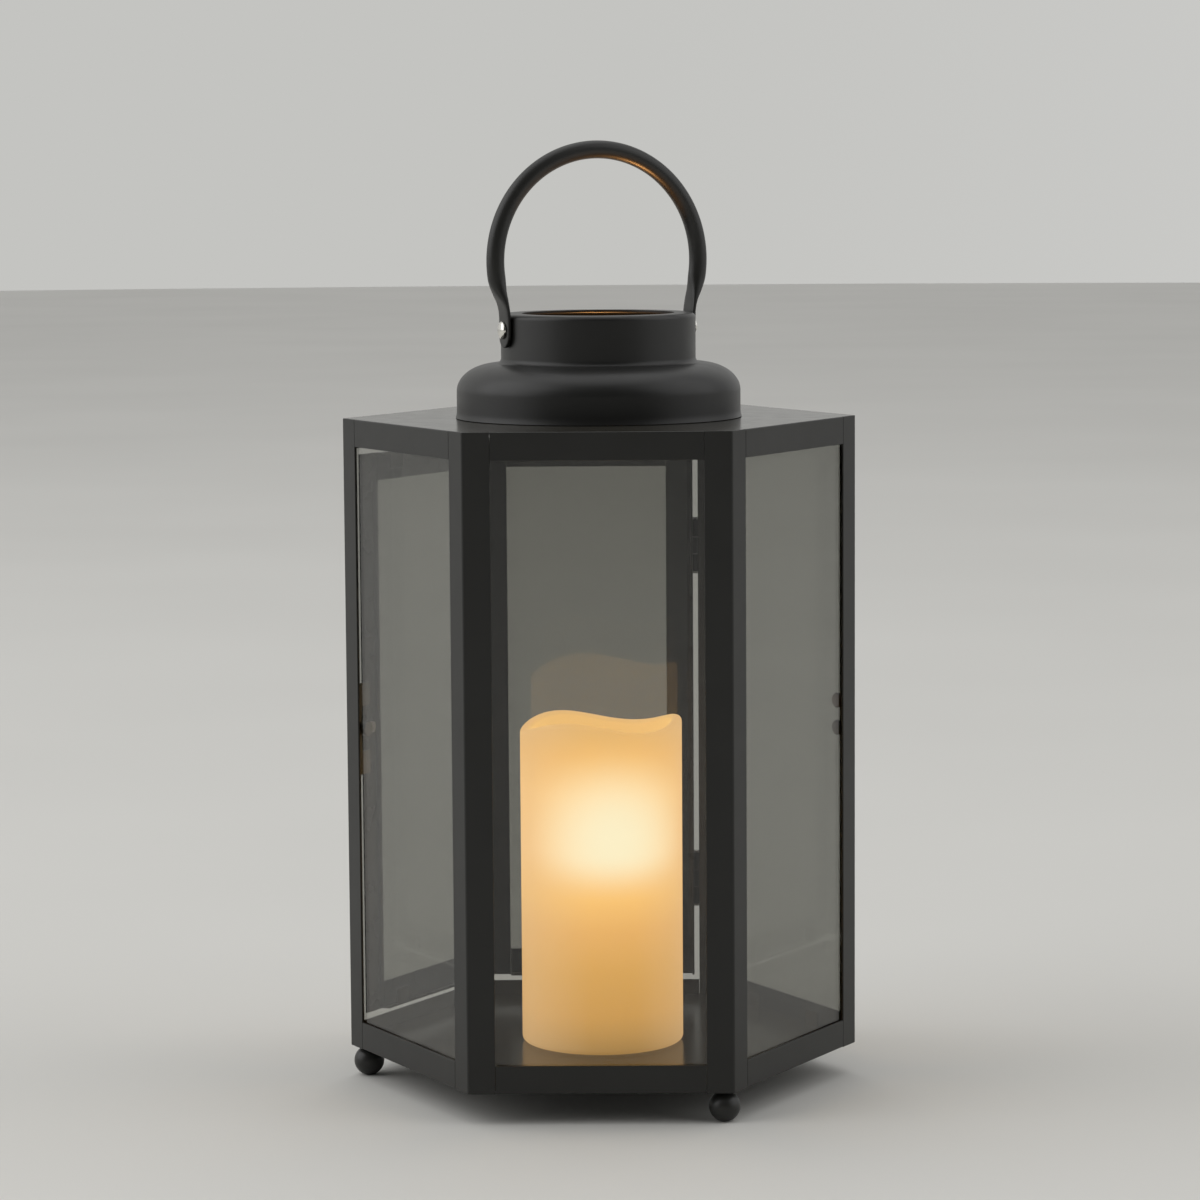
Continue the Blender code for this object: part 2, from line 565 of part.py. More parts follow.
def build_door(paint, glass):
    """Two-panel door frame and its panes; returns its pieces."""
    pieces = [prism("door_corner_post", angle_outline(DOOR_FRAME), DOOR_BOTTOM, DOOR_TOP, paint,
                    corner_matrix("back_left"))]
    # the latch stile stays flat, because the stop arms of the catch reach behind it
    returned = [(STILE_EDGE - SHEET, SHEET), (STILE_EDGE - SHEET, DOOR_FLANGE),
                (STILE_EDGE, DOOR_FLANGE)]
    pieces += [stile("door_hinge_stile", "back", returned, paint),
               stile("door_latch_stile", "back_left", [(STILE_EDGE, SHEET)], paint)]
    pane_ends = {"back": STILE_EDGE - HINGE_PANE_INSET,
                 "back_left": STILE_INNER + LATCH_PANE_OVERLAP}
    for face, meet in DOOR_FACES.items():
        span = sorted((-meet * (STILE_INNER - GAP), meet * (HALF_SIDE - DOOR_FRAME - GAP)))
        middle = (span[0] + span[1]) / 2
        top = rail(f"door_top_rail_{face}", face, span, (DOOR_TOP - DOOR_FRAME, DOOR_TOP),
                   DOOR_TOP - SHEET, DOOR_FLANGE, paint)
        add_tabs(top, face, middle, DOOR_TOP - SHEET - TAB_HEIGHT, DOOR_TOP - SHEET / 2)
        bottom = rail(f"door_bottom_rail_{face}", face, span,
                      (DOOR_BOTTOM, DOOR_BOTTOM + DOOR_FRAME), DOOR_BOTTOM, DOOR_FLANGE, paint)
        add_tabs(bottom, face, middle, DOOR_BOTTOM + SHEET / 2, DOOR_BOTTOM + SHEET + TAB_HEIGHT)
        ends = sorted((-meet * pane_ends[face], meet * (HALF_SIDE - PANE_EDGE)))
        pane = block(f"door_pane_{face}", (ends[0], PANE_DEPTH, DOOR_BOTTOM + SHEET + GAP),
                     (ends[1], PANE_DEPTH + PANE, DOOR_TOP - SHEET - GAP), glass,
                     face_matrix(face))
        pieces += [top, bottom, pane]
    return pieces


def hinge_leaf(name, side, low, look):
    """One leaf on the outside of the back face: side -1 lies on the post, 1 on the door stile."""
    meet_angle = math.degrees(math.asin(
        (KNUCKLE_RADIUS - HINGE_LEAF_THICKNESS) / KNUCKLE_RADIUS))
    ring = arc((0.0, 0.0), (KNUCKLE_RADIUS, KNUCKLE_RADIUS), 90, meet_angle - 180, 14)
    ring = ring[:-1] + arc((0.0, 0.0), (KNUCKLE_RADIUS, KNUCKLE_RADIUS), meet_angle - 180,
                           -180 - meet_angle, 3)
    plate = [(-HINGE_LEAF_WIDTH, KNUCKLE_RADIUS - HINGE_LEAF_THICKNESS),
             (-HINGE_LEAF_WIDTH, KNUCKLE_RADIUS)]
    outline = [(-side * x, y) for x, y in ring + plate]
    high = low + HINGE_HEIGHT
    made = prism(name, outline, low, high, look, hinge_matrix())
    middle = (low + high) / 2
    band = HINGE_MIDDLE_KNUCKLE / 2
    clear = KNUCKLE_RADIUS + GAP
    cuts = [(middle - band, middle + band)]
    if side > 0:
        cuts = [(low - GAP, middle - band + GAP), (middle + band - GAP, high + GAP)]
    for bottom, top in cuts:
        notch(made, (-clear, -clear, bottom), (clear, clear, top), hinge_matrix())
    drill(made, HINGE_BORE_RADIUS, low - GAP, high + GAP, hinge_matrix())
    return made


def hinge_matrix():
    """Upright hinge axis outside the joint between the back-right post and the door."""
    return face_matrix("back") @ Matrix.Translation((HINGE_AXIS_X, HINGE_AXIS_DEPTH, 0.0))


def build_hinges(steel, black):
    """Two butt hinges; returns the leaves that ride on the door."""
    shank = HINGE_BORE_RADIUS - RUNNING
    places = {"lower": DOOR_BOTTOM + LOWER_HINGE_DISTANCE,
              "upper": DOOR_TOP - UPPER_HINGE_DISTANCE}
    door_leaves = []
    for place, middle in places.items():
        low = middle - HINGE_HEIGHT / 2
        high = middle + HINGE_HEIGHT / 2
        hinge_leaf(f"hinge_post_leaf_{place}", -1, low, black)
        door_leaves.append(hinge_leaf(f"hinge_door_leaf_{place}", 1, low, black))
        seat = (low - GAP, high + GAP)
        tip = (seat[0] - PIN_HEAD_HEIGHT, seat[1] + PIN_HEAD_HEIGHT)
        profile = [(0.0, tip[1]), (PIN_HEAD_RADIUS, tip[1]), (PIN_HEAD_RADIUS, seat[1]),
                   (shank, seat[1]), (shank, seat[0]), (PIN_HEAD_RADIUS, seat[0]),
                   (PIN_HEAD_RADIUS, tip[0]), (0.0, tip[0])]
        turned(f"hinge_pin_{place}", profile, 24, steel, hinge_matrix())
    return door_leaves


def build_catch(steel):
    """E-shaped stop bracket inside the left post, with a round magnet on its tongue."""
    middle = FRAME_BOTTOM + CATCH_HEIGHT
    low, high = middle - CATCH_LENGTH / 2, middle + CATCH_LENGTH / 2
    corner = HALF_SIDE - CATCH_CORNER
    edge = HALF_SIDE - POST_LEG + CATCH_EDGE
    reach = STILE_EDGE - CATCH_REACH
    magnet = HALF_SIDE - POST_LEG - DOOR_SIDE_GAP / 2
    half = CATCH_TONGUE / 2
    outline = [(corner, high), (corner, low), (reach, low), (reach, low + CATCH_ARM),
               (edge, low + CATCH_ARM), (edge, middle - half), (magnet, middle - half),
               (magnet, middle + half), (edge, middle + half), (edge, high - CATCH_ARM),
               (reach, high - CATCH_ARM), (reach, high)]
    back = -(PANE_DEPTH + SHEET)
    bracket = prism("catch_bracket", outline, back, -PANE_DEPTH, steel,
                    outward_matrix("back_left"))
    profile = [(0.0, -PANE_DEPTH - SHEET / 2), (MAGNET_RADIUS, -PANE_DEPTH - SHEET / 2),
               (MAGNET_RADIUS, back - MAGNET_THICKNESS), (0.0, back - MAGNET_THICKNESS)]
    disc = turned("catch_magnet", profile, 24,
                  matrix=outward_matrix("back_left") @ Matrix.Translation((magnet, middle, 0.0)))
    combine(bracket, disc, "UNION")


def build_knob(stile_piece, steel):
    """Turned pull knob with its shank through the latch stile and a nut inside."""
    place = Matrix.Translation((STILE_EDGE - KNOB_INSET, FRAME_BOTTOM + CATCH_HEIGHT, 0.0))
    matrix = outward_matrix("back_left") @ place
    neck = math.degrees(math.acos(KNOB_NECK_RADIUS / KNOB_RADIUS))
    ball = (0.0, KNOB_LENGTH - KNOB_RADIUS)
    inner = -(SHEET + GAP)
    profile = [(0.0, KNOB_LENGTH)] + arc(ball, (KNOB_RADIUS, KNOB_RADIUS), 90, -neck, 10)[1:]
    profile += [(KNOB_NECK_RADIUS, GAP + KNOB_BASE_HEIGHT),
                (KNOB_BASE_RADIUS, GAP + KNOB_BASE_HEIGHT), (KNOB_BASE_RADIUS, GAP),
                (KNOB_SHANK_RADIUS, GAP), (KNOB_SHANK_RADIUS, inner), (KNOB_NUT_RADIUS, inner),
                (KNOB_NUT_RADIUS, inner - KNOB_NUT_HEIGHT), (0.0, inner - KNOB_NUT_HEIGHT)]
    knob = turned("door_knob", profile, 24, steel, matrix)
    drill(stile_piece, KNOB_SHANK_RADIUS + GAP, inner - SHEET, SHEET, matrix)
    return knob


def rim_height(turn):
    """Height of the melted rim at an angle about the candle's axis."""
    wave = RIM_WAVE * math.cos(3 * turn + RIM_WAVE_PHASE)
    return RIM_MEAN + wave + RIM_TILT * math.cos(turn + RIM_TILT_PHASE)


def build_wax(wax):
    """Wax tube with a rounded foot, a wavy rounded rim and a step in its bore."""
    sides = 72
    core = BORE_RADIUS - CORE_LEDGE
    foot = arc((CANDLE_RADIUS - WAX_FOOT_ROUND, CANDLE_BOTTOM + WAX_FOOT_ROUND),
               (WAX_FOOT_ROUND, WAX_FOOT_ROUND), -90, 0, 4)
    crown = [(radius, drop) for radius, drop in (
        (CANDLE_RADIUS, WAX_WALL / 2), (CANDLE_RADIUS - WAX_WALL * 0.12, WAX_WALL * 0.15),
        (CANDLE_RADIUS - WAX_WALL * 0.45, 0.0), (CANDLE_RADIUS - WAX_WALL * 0.85, WAX_WALL * 0.12),
        (BORE_RADIUS, WAX_WALL / 2))]
    step = [(BORE_RADIUS, LEDGE_HEIGHT), (core, LEDGE_HEIGHT), (core, CANDLE_BOTTOM)]
    bm = bmesh.new()
    rings = []
    for k in range(sides):
        turn = math.tau * k / sides
        rim = rim_height(turn)
        profile = foot + [(radius, rim - drop) for radius, drop in crown] + step
        rings.append([bm.verts.new((radius * math.cos(turn), radius * math.sin(turn), height))
                      for radius, height in profile])
    count = len(rings[0])
    for k, ring in enumerate(rings):
        following = rings[(k + 1) % sides]
        for i in range(count):
            n = (i + 1) % count
            bm.faces.new((ring[i], following[i], following[n], ring[n]))
    return finish("candle_wax", bm, wax, Matrix(), smooth=True)


def build_candle_core(plastic, foil, board_green, lens):
    """Battery housing, cover, cells, switch, board and light; returns them by name."""
    bay_top = COVER_RECESS_TOP + BAY_DEPTH
    recess = BATTERY_COVER_RADIUS + GAP
    housing = turned("battery_housing", [
        (0.0, HOUSING_TOP), (HOUSING_RADIUS, HOUSING_TOP), (HOUSING_RADIUS, HOUSING_BOTTOM),
        (recess, HOUSING_BOTTOM), (recess, COVER_RECESS_TOP), (BAY_RADIUS, COVER_RECESS_TOP),
        (BAY_RADIUS, bay_top), (0.0, bay_top)], 48, plastic)
    low = HOUSING_BOTTOM - SWITCH_PROUD
    half = SWITCH_WIDTH / 2
    notch(housing, (SWITCH_DISTANCE - half - GAP, -SWITCH_LENGTH / 2 - GAP, low),
          (SWITCH_DISTANCE + half + GAP, SWITCH_LENGTH / 2 + SWITCH_TRAVEL + GAP,
           low + SWITCH_HEIGHT + GAP))
    switch = block("slide_switch", (SWITCH_DISTANCE - half, -SWITCH_LENGTH / 2, low),
                   (SWITCH_DISTANCE + half, SWITCH_LENGTH / 2, low + SWITCH_HEIGHT), plastic)

    top = HOUSING_BOTTOM + BATTERY_COVER_THICKNESS
    cover = turned("battery_cover", [
        (0.0, top), (BATTERY_COVER_RADIUS, top), (BATTERY_COVER_RADIUS, HOUSING_BOTTOM),
        (0.0, HOUSING_BOTTOM)], 40, plastic)
    notch(cover, (-COIN_SLOT_LENGTH / 2, -COIN_SLOT_WIDTH / 2, HOUSING_BOTTOM - GAP),
          (COIN_SLOT_LENGTH / 2, COIN_SLOT_WIDTH / 2, HOUSING_BOTTOM + COIN_SLOT_DEPTH))

    pieces = [housing]
    foot = COVER_RECESS_TOP + GAP
    shoulder = foot + BATTERY_LENGTH - BATTERY_NUB_HEIGHT
    cell = [(0.0, foot + BATTERY_LENGTH), (BATTERY_NUB_RADIUS, foot + BATTERY_LENGTH),
            (BATTERY_NUB_RADIUS, shoulder), (BATTERY_RADIUS, shoulder), (BATTERY_RADIUS, foot),
            (0.0, foot)]
    for side, name in ((-1, "battery_a"), (1, "battery_b")):
        place = Matrix.Translation((0.0, side * (BATTERY_RADIUS + GAP), 0.0))
        pieces.append(turned(name, cell, 24, foil, place))

    board_radius = HOUSING_RADIUS - BOARD_CLEARANCE
    pieces.append(turned("led_board", [
        (0.0, BOARD_TOP), (board_radius, BOARD_TOP), (board_radius, BOARD_LOW),
        (0.0, BOARD_LOW)], 40, board_green))
    seat = BOARD_TOP + GAP + LED_HOLDER_HEIGHT
    tip = seat + LED_HEIGHT
    dome = arc((0.0, tip - LED_RADIUS), (LED_RADIUS, LED_RADIUS), 90, 0, 5)
    pieces.append(turned("led", [(0.0, tip)] + dome[1:] + [
        (LED_RADIUS, seat), (LED_HOLDER_RADIUS, seat), (LED_HOLDER_RADIUS, BOARD_TOP + GAP),
        (0.0, BOARD_TOP + GAP)], 24, lens))
    return pieces, cover, switch


def build_solar_top(plastic, silicon, lens, copper):
    """Bezel, cell and clear cover under the rim, and the lead down to the board."""
    high = BEZEL_LOW + BEZEL_HEIGHT
    seat = BEZEL_LOW + BEZEL_FLOOR
    ledge = high - COVER_LEDGE_DEPTH
    opening = BEZEL_RADIUS - BEZEL_WALL
    pocket = opening - COVER_LEDGE
    bezel = turned("solar_bezel", [
        (0.0, seat), (pocket, seat), (pocket, ledge), (opening, ledge), (opening, high),
        (BEZEL_RADIUS, high), (BEZEL_RADIUS, BEZEL_LOW), (0.0, BEZEL_LOW)], 48, plastic)
    half = (pocket - WAFER_CLEARANCE) / math.sqrt(2)
    wafer_low = seat + GAP
    wafer = block("solar_cell", (-half, -half, wafer_low),
                  (half, half, wafer_low + WAFER_THICKNESS), silicon)
    glass = ledge + GAP
    cover = turned("solar_cover", [
        (0.0, glass + COVER_THICKNESS), (opening - GAP, glass + COVER_THICKNESS),
        (opening - GAP, glass), (0.0, glass)], 40, lens)

    start = Vector((LEAD_TOP_INSET - HOUSING_RADIUS, 0.0, BEZEL_LOW - GAP))
    end = Vector((LEAD_FOOT_INSET - HOUSING_RADIUS, 0.0, BOARD_TOP + GAP))
    slack = (start.z - end.z) / 3
    curve = bpy.data.curves.new("charge_lead", "CURVE")
    curve.dimensions = "3D"
    spline = curve.splines.new("POLY")
    count = 12
    spline.points.add(count - 1)
    for i in range(count):
        t = i / (count - 1)
        # cubic between the two ends, upright where it leaves them
        place = (start * (1 - t) ** 3 + (start - Vector((0, 0, slack))) * 3 * t * (1 - t) ** 2
                 + (end + Vector((0, 0, slack))) * 3 * t * t * (1 - t) + end * t ** 3)
        spline.points[i].co = (*place, 1.0)
    curve.bevel_depth = LEAD_RADIUS
    curve.bevel_resolution = 2
    curve.use_fill_caps = True
    curve.materials.append(copper)
    lead = bpy.data.objects.new("charge_lead", curve)
    bpy.context.scene.collection.objects.link(lead)
    return [bezel, wafer, cover, lead]


def hang(name, matrix, pieces):
    """Empty on a joint's axis that carries the pieces that move with it."""
    empty = bpy.data.objects.new(name, None)
    bpy.context.scene.collection.objects.link(empty)
    empty.matrix_world = matrix
    for piece in pieces:
        piece.parent = empty
        piece.matrix_parent_inverse = matrix.inverted()
    return empty


def build():
    """Clear the scene and model the whole lantern."""
    for old in list(bpy.data.objects):
        bpy.data.objects.remove(old, do_unlink=True)

    paint = material("anthracite_paint", (0.045, 0.045, 0.043), 0.45)
    glass = material("clear_glass", (0.9, 0.92, 0.9), 0.02, transmission=1.0)
    nickel = material("bright_nickel", (0.8, 0.78, 0.74), 0.2, metallic=1.0)
    steel = material("zinc_steel", (0.45, 0.45, 0.46), 0.35, metallic=1.0)
    black = material("blackened_steel", (0.03, 0.03, 0.03), 0.4, metallic=0.6)
    wax = material("ivory_wax", (0.85, 0.6, 0.3), 0.5)
    plastic = material("moulded_plastic", (0.75, 0.68, 0.55), 0.5)
    foil = material("battery_foil", (0.08, 0.25, 0.12), 0.35)
    board_green = material("circuit_board", (0.02, 0.12, 0.05), 0.5)
    lens = material("clear_lens", (0.95, 0.93, 0.85), 0.05, transmission=0.9)
    silicon = material("solar_silicon", (0.01, 0.02, 0.06), 0.25)
    sleeve = material("lead_sleeve", (0.4, 0.02, 0.02), 0.5)

    build_frame(paint)
    build_panes(glass)
    build_feet(paint)
    build_collar(paint)
    build_catch(steel)
    handle = build_handle(paint)
    build_rivets(nickel)
    door = build_door(paint, glass)
    latch_stile = next(piece for piece in door if piece.name == "door_latch_stile")
    door.append(build_knob(latch_stile, steel))
    door += build_hinges(steel, black)
    core, cover, switch = build_candle_core(plastic, foil, board_green, lens)
    candle = [build_wax(wax)] + core + build_solar_top(plastic, silicon, lens, sleeve)

    hang("handle_pivot", pivot_matrix(1), [handle])
    hang("door_hinge_axis", hinge_matrix(), door)
    axis = hang("candle_axis", Matrix.Translation((0.0, 0.0, CANDLE_BOTTOM)), candle)
    for name, matrix, piece in (
            ("battery_cover_axis", Matrix.Translation((0.0, 0.0, HOUSING_BOTTOM)), cover),
            ("switch_track", Matrix.Translation((SWITCH_DISTANCE, 0.0, HOUSING_BOTTOM)), switch)):
        track = hang(name, matrix, [piece])
        track.parent = axis
        track.matrix_parent_inverse = Matrix.Translation((0.0, 0.0, -CANDLE_BOTTOM))


build()
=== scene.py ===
"""Looks of the hexagonal lantern: folded, powder-coated sheet metal, lightly smoked float glass,
a spun collar, a bent-tube handle and a glowing wax candle.

Metres, +Z up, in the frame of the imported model. New pieces are numpy surfaces: a grid of points
over two parameters, or an outline carried along a path.
"""

import math

import bmesh
import bpy
import numpy as np
from mathutils import Matrix, Vector


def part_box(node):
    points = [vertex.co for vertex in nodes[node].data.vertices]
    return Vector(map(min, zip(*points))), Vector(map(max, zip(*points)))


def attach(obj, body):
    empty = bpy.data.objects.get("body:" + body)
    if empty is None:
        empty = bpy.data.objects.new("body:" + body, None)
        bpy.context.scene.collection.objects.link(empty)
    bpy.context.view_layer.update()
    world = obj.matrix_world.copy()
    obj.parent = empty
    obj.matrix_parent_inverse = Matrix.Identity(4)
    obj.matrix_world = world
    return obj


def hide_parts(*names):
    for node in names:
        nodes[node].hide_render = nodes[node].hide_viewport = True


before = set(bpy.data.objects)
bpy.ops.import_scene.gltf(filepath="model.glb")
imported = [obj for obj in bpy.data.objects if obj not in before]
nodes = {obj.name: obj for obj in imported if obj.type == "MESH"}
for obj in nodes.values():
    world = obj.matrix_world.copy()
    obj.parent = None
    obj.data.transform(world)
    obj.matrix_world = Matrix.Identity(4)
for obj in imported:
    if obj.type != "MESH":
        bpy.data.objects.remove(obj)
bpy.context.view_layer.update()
MM = 0.001

# Sizes that the solids were made with
SHEET = 1.0 * MM                # folded sheet of posts, rails and door
GAP = 0.3 * MM                  # between pieces that touch
POST_LEG = 12.2 * MM
DOOR_FRAME = 13.0 * MM          # face width of the door's stiles, rails and corner post
DOOR_SIDE_GAP = 2.5 * MM
PANE = 2.0 * MM
PANE_EDGE = 4.5 * MM            # corner line to the edge of a pane
RAIL_FLANGE = 8.0 * MM
TOP_RAIL = 12.5 * MM
TAB_WIDTH = 10.0 * MM
TAB_SPACING = 52.0 * MM
TAB_HEIGHT = 7.0 * MM
HAIRLINE = 0.12 * MM            # open joint between a rail and the post or stile beside it
SHARP_EDGE = 0.3 * MM           # radius of a cut edge under its coat
PANE_DEPTH = SHEET + GAP        # outer face of the frame to a pane
TAB_DEPTH = PANE_DEPTH + PANE + GAP
VENT_RADIUS = 52.0 * MM         # hole of the roof plate, under the collar

# Sizes read from the frame
FRAME_LOW, FRAME_HIGH = (corner.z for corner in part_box("post_left"))
SIDE = -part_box("post_left")[0].x                 # a corner's distance from the axis is one side
APOTHEM = SIDE * math.sqrt(3) / 2
HALF = SIDE / 2
STILE_EDGE = HALF - POST_LEG - DOOR_SIDE_GAP
STILE_INNER = STILE_EDGE - DOOR_FRAME

FACE_TURN = {"front": 0, "front_right": 60, "back_right": 120, "back": 180, "back_left": 240,
             "front_left": 300}
CORNER_TURN = {"right": 0, "back_right": 60, "back_left": 120, "left": 180, "front_left": 240,
               "front_right": 300}
# Which end of a door face meets the door's corner post: 1 is the end of the face, -1 its start.
DOOR_FACES = {"back": 1, "back_left": -1}


# ---------------------------------------------------------------- surfaces

def grid(rows, columns, close_rows=False, close_columns=False):
    """Quads between the points of a grid, which may close on itself in either direction."""
    r = np.arange(rows if close_rows else rows - 1)[:, None]
    c = np.arange(columns if close_columns else columns - 1)[None, :]
    r_next, c_next = (r + 1) % rows, (c + 1) % columns
    quads = (r * columns + c, r * columns + c_next, r_next * columns + c_next, r_next * columns + c)
    quads = np.stack([np.broadcast_to(quad, (r.size, c.size)) for quad in quads], -1)
    return quads.reshape(-1, 4).tolist()


def tube_faces(rows, columns):
    """Quads of a grid that closes round its columns, with a polygon over each end."""
    return grid(rows, columns, close_columns=True) + [
        list(range(columns))[::-1], list(range((rows - 1) * columns, rows * columns))]


def unit(vectors):
    """Rows scaled to length 1."""
    return vectors / np.linalg.norm(vectors, axis=-1, keepdims=True)


def rounded(points, radii, steps=4):
    """Outline with each corner replaced by an arc that touches both of its sides.

    The arc's centre lies on the bisector at radius / sin(half angle); its points are the spherical
    interpolation between the directions of the two tangent points.
    """
    points = np.asarray(points, float)
    radii = np.broadcast_to(radii, len(points))[:, None]
    before = unit(np.roll(points, 1, 0) - points)
    after = unit(np.roll(points, -1, 0) - points)
    half = np.arccos(np.clip((before * after).sum(1), -1, 1))[:, None] / 2
    centre = points + unit(before + after) * radii / np.sin(half)
    start = points + before * radii / np.tan(half) - centre
    end = points + after * radii / np.tan(half) - centre
    share = np.linspace(0, 1, steps + 1)[None, :, None]
    turn = (math.pi - 2 * half)[:, :, None]
    arcs = (start[:, None] * np.sin((1 - share) * turn)
            + end[:, None] * np.sin(share * turn)) / np.sin(turn)
    return (centre[:, None] + arcs).reshape(-1, 2)


def arc(centre, radii, start, end, steps):
    """Points on an ellipse with the given (across, up) radii; angles in degrees."""
    a = np.radians(np.linspace(start, end, steps + 1))
    return np.column_stack((centre[0] + radii[0] * np.cos(a), centre[1] + radii[1] * np.sin(a)))


def outward(outline):
    """Outward unit normals of a closed outline that runs anticlockwise."""
    side = np.roll(outline, -1, 0) - outline
    normal = unit(np.column_stack((side[:, 1], -side[:, 0])))
    return unit(normal + np.roll(normal, 1, 0))


def carried(outline, low, high, ease=0.2 * MM, steps=3):
    """Closed outline carried straight from low to high along the third axis, with eased ends.

    At an angle a of the easing quarter circle the outline is moved inwards by ease (1 - sin a) and
    lies ease (1 - cos a) inside the end.
    """
    outline = np.asarray(outline, float)
    x, y = outline.T
    if (x * np.roll(y, -1) - y * np.roll(x, -1)).sum() < 0:
        outline = outline[::-1]
    a = np.linspace(0, math.pi / 2, steps + 1)
    inset = ease * (1 - np.sin(a))
    rise = ease * (1 - np.cos(a))
    inset = np.concatenate((inset, inset[::-1]))
    height = np.concatenate((low + rise, high - rise[::-1]))
    flat = outline[None] - outward(outline)[None] * inset[:, None, None]
    points = np.dstack((flat, np.broadcast_to(height[:, None], flat.shape[:2])))
    return points.reshape(-1, 3), tube_faces(*flat.shape[:2])


def turned(profile, segments=96, ring=False):
    """Surface of revolution of (radius, height) points; a ring's profile closes on itself."""
    a = np.arange(segments)[:, None] * math.tau / segments
    radius, height = np.asarray(profile, float).T
    points = np.dstack((radius * np.cos(a), radius * np.sin(a), height + 0 * a))
    return points.reshape(-1, 3), grid(segments, len(radius), True, ring)


def walled(line, wall):
    """Closed outline of a sheet whose outer surface is the given line: the line, then the line
    moved to its left by the wall, run back."""
    line = np.asarray(line, float)
    along = unit(np.gradient(line, axis=0))
    inner = line + np.column_stack((-along[:, 1], along[:, 0])) * wall
    return np.concatenate((line, inner[::-1]))


def joined(*shapes):
    """Several (points, faces) shapes as one."""
    points, faces, count = [], [], 0
    for shape_points, shape_faces in shapes:
        points.append(shape_points)
        faces += [[index + count for index in face] for face in shape_faces]
        count += len(shape_points)
    return np.concatenate(points), faces


def moved(shape, place=(0, 0, 0), up=(0, 0, 1), across=(1, 0, 0)):
    """Shape with its Z along up and its X along across, then moved to a place."""
    up, across = Vector(up).normalized(), Vector(across).normalized()
    turn = np.array((across, up.cross(across), up))
    return shape[0] @ turn + np.array(place), shape[1]


def spun(shape, degrees):
    """Shape turned about the lantern's axis."""
    a = math.radians(degrees)
    turn = np.array(((math.cos(a), math.sin(a), 0), (-math.sin(a), math.cos(a), 0), (0, 0, 1)))
    return shape[0] @ turn, shape[1]


def facing(shape, place=(0, 0)):
    """Shape made as (along, up, outwards) put at a place on a face: (along, depth, up)."""
    along, up, out = shape[0].T
    return np.column_stack((along + place[0], -out, up + place[1])), shape[1]


def on_face(shape, face):
    """Shape made as (along the face, depth inwards, up), put on one face of the hexagon."""
    points = shape[0] + np.array((0, -APOTHEM, 0))
    return spun((points, shape[1]), FACE_TURN[face])


def piece(name, shape, look, body, slot, *replaced):
    """Mesh object from a shape, closed and smooth, that rides on a body."""
    points, faces = shape
    mesh = bpy.data.meshes.new(name)
    mesh.from_pydata(points.tolist(), [], faces)
    bm = bmesh.new()
    bm.from_mesh(mesh)
    bmesh.ops.remove_doubles(bm, verts=bm.verts, dist=1e-7)
    bmesh.ops.recalc_face_normals(bm, faces=bm.faces)
    bm.to_mesh(mesh)
    bm.free()
    mesh.materials.append(look)
    mesh.shade_smooth()
    mesh.set_sharp_from_angle(angle=math.radians(40))
    made = bpy.data.objects.new(name, mesh)
    bpy.context.scene.collection.objects.link(made)
    weighted = made.modifiers.new("flat faces stay flat", "WEIGHTED_NORMAL")
    weighted.keep_sharp = True
    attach(made, body)
    if replaced:
        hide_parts(*replaced)


# ---------------------------------------------------------------- materials

NOISE_RANGE = {"From Min": 0.3, "From Max": 0.7}     # a noise seldom leaves these two values
# the wax's inner light is painted on as emission: a painted glow
WAX_PAINTED_GLOW = 2.33                 # strength of the wax's light; the pane in front takes half of it


def colour(code):
    """sRGB hex code as linear RGBA."""
    parts = [int(code[i:i + 2], 16) / 255 for i in (0, 2, 4)]
    linear = [c / 12.92 if c <= 0.04045 else ((c + 0.055) / 1.055) ** 2.4 for c in parts]
    return (*linear, 1.0)


def feed(node, sockets):
    """Fill a node's sockets, each with a plain value, an output, or a node's first output."""
    for name, value in sockets.items():
        if isinstance(value, bpy.types.Node):
            value = value.outputs[0]
        if isinstance(value, bpy.types.NodeSocket):
            node.id_data.links.new(value, node.inputs[name])
        else:
            node.inputs[name].default_value = value


def add(tree, kind, sockets=None, stops=(), **settings):
    """Add a node with its settings, its sockets, and its colour stops as (place, hex code)."""
    node = tree.nodes.new(kind)
    for name, value in settings.items():
        setattr(node, name, value)
    feed(node, sockets or {})
    for index, (place, code) in enumerate(stops):
        elements = node.color_ramp.elements
        element = elements[index] if index < 2 else elements.new(place)
        element.position = place
        element.color = colour(code)
    return node


def material(name, **constants):
    """New material with constants on its Principled shader.

    Returns the material, its node tree and the shader.
    """
    made = bpy.data.materials.new(name)
    made.use_nodes = True
    shader = made.node_tree.nodes["Principled BSDF"]
    feed(shader, {socket.replace("_", " "): value for socket, value in constants.items()})
    return made, made.node_tree, shader


def powder_coat(name, dark, light, roughness, peel_depth=0.005 * MM, stretch=(1, 1, 1)):
    """Polyester powder coat, sprayed and baked: satin, with an orange peel about 1.2 mm across and
    soft cloudy variation. The real grain of 0.1 mm is too fine to show and is left out."""
    made, tree, shader = material(name, Specular_IOR_Level=0.42)
    place = add(tree, "ShaderNodeTexCoord").outputs["Object"]
    cloud = add(tree, "ShaderNodeTexNoise", {"Vector": place, "Scale": 1 / (35 * MM), "Detail": 3})
    tone = add(tree, "ShaderNodeValToRGB", {"Fac": cloud}, ((0.3, dark), (0.7, light)))
    patch = add(tree, "ShaderNodeTexNoise", {"Vector": place, "Scale": 1 / (9 * MM), "Detail": 2})
    rough = add(tree, "ShaderNodeMapRange", NOISE_RANGE | {
        "Value": patch, "To Min": roughness - 0.015, "To Max": roughness + 0.015})
    along = add(tree, "ShaderNodeMapping", {"Vector": place, "Scale": stretch})
    peel = add(tree, "ShaderNodeTexNoise", {"Vector": along, "Scale": 1 / (1.2 * MM), "Detail": 1})
    relief = add(tree, "ShaderNodeBump", {"Height": peel, "Distance": peel_depth, "Strength": 1.0})
    feed(shader, {"Base Color": tone, "Roughness": rough, "Normal": relief})
    return made


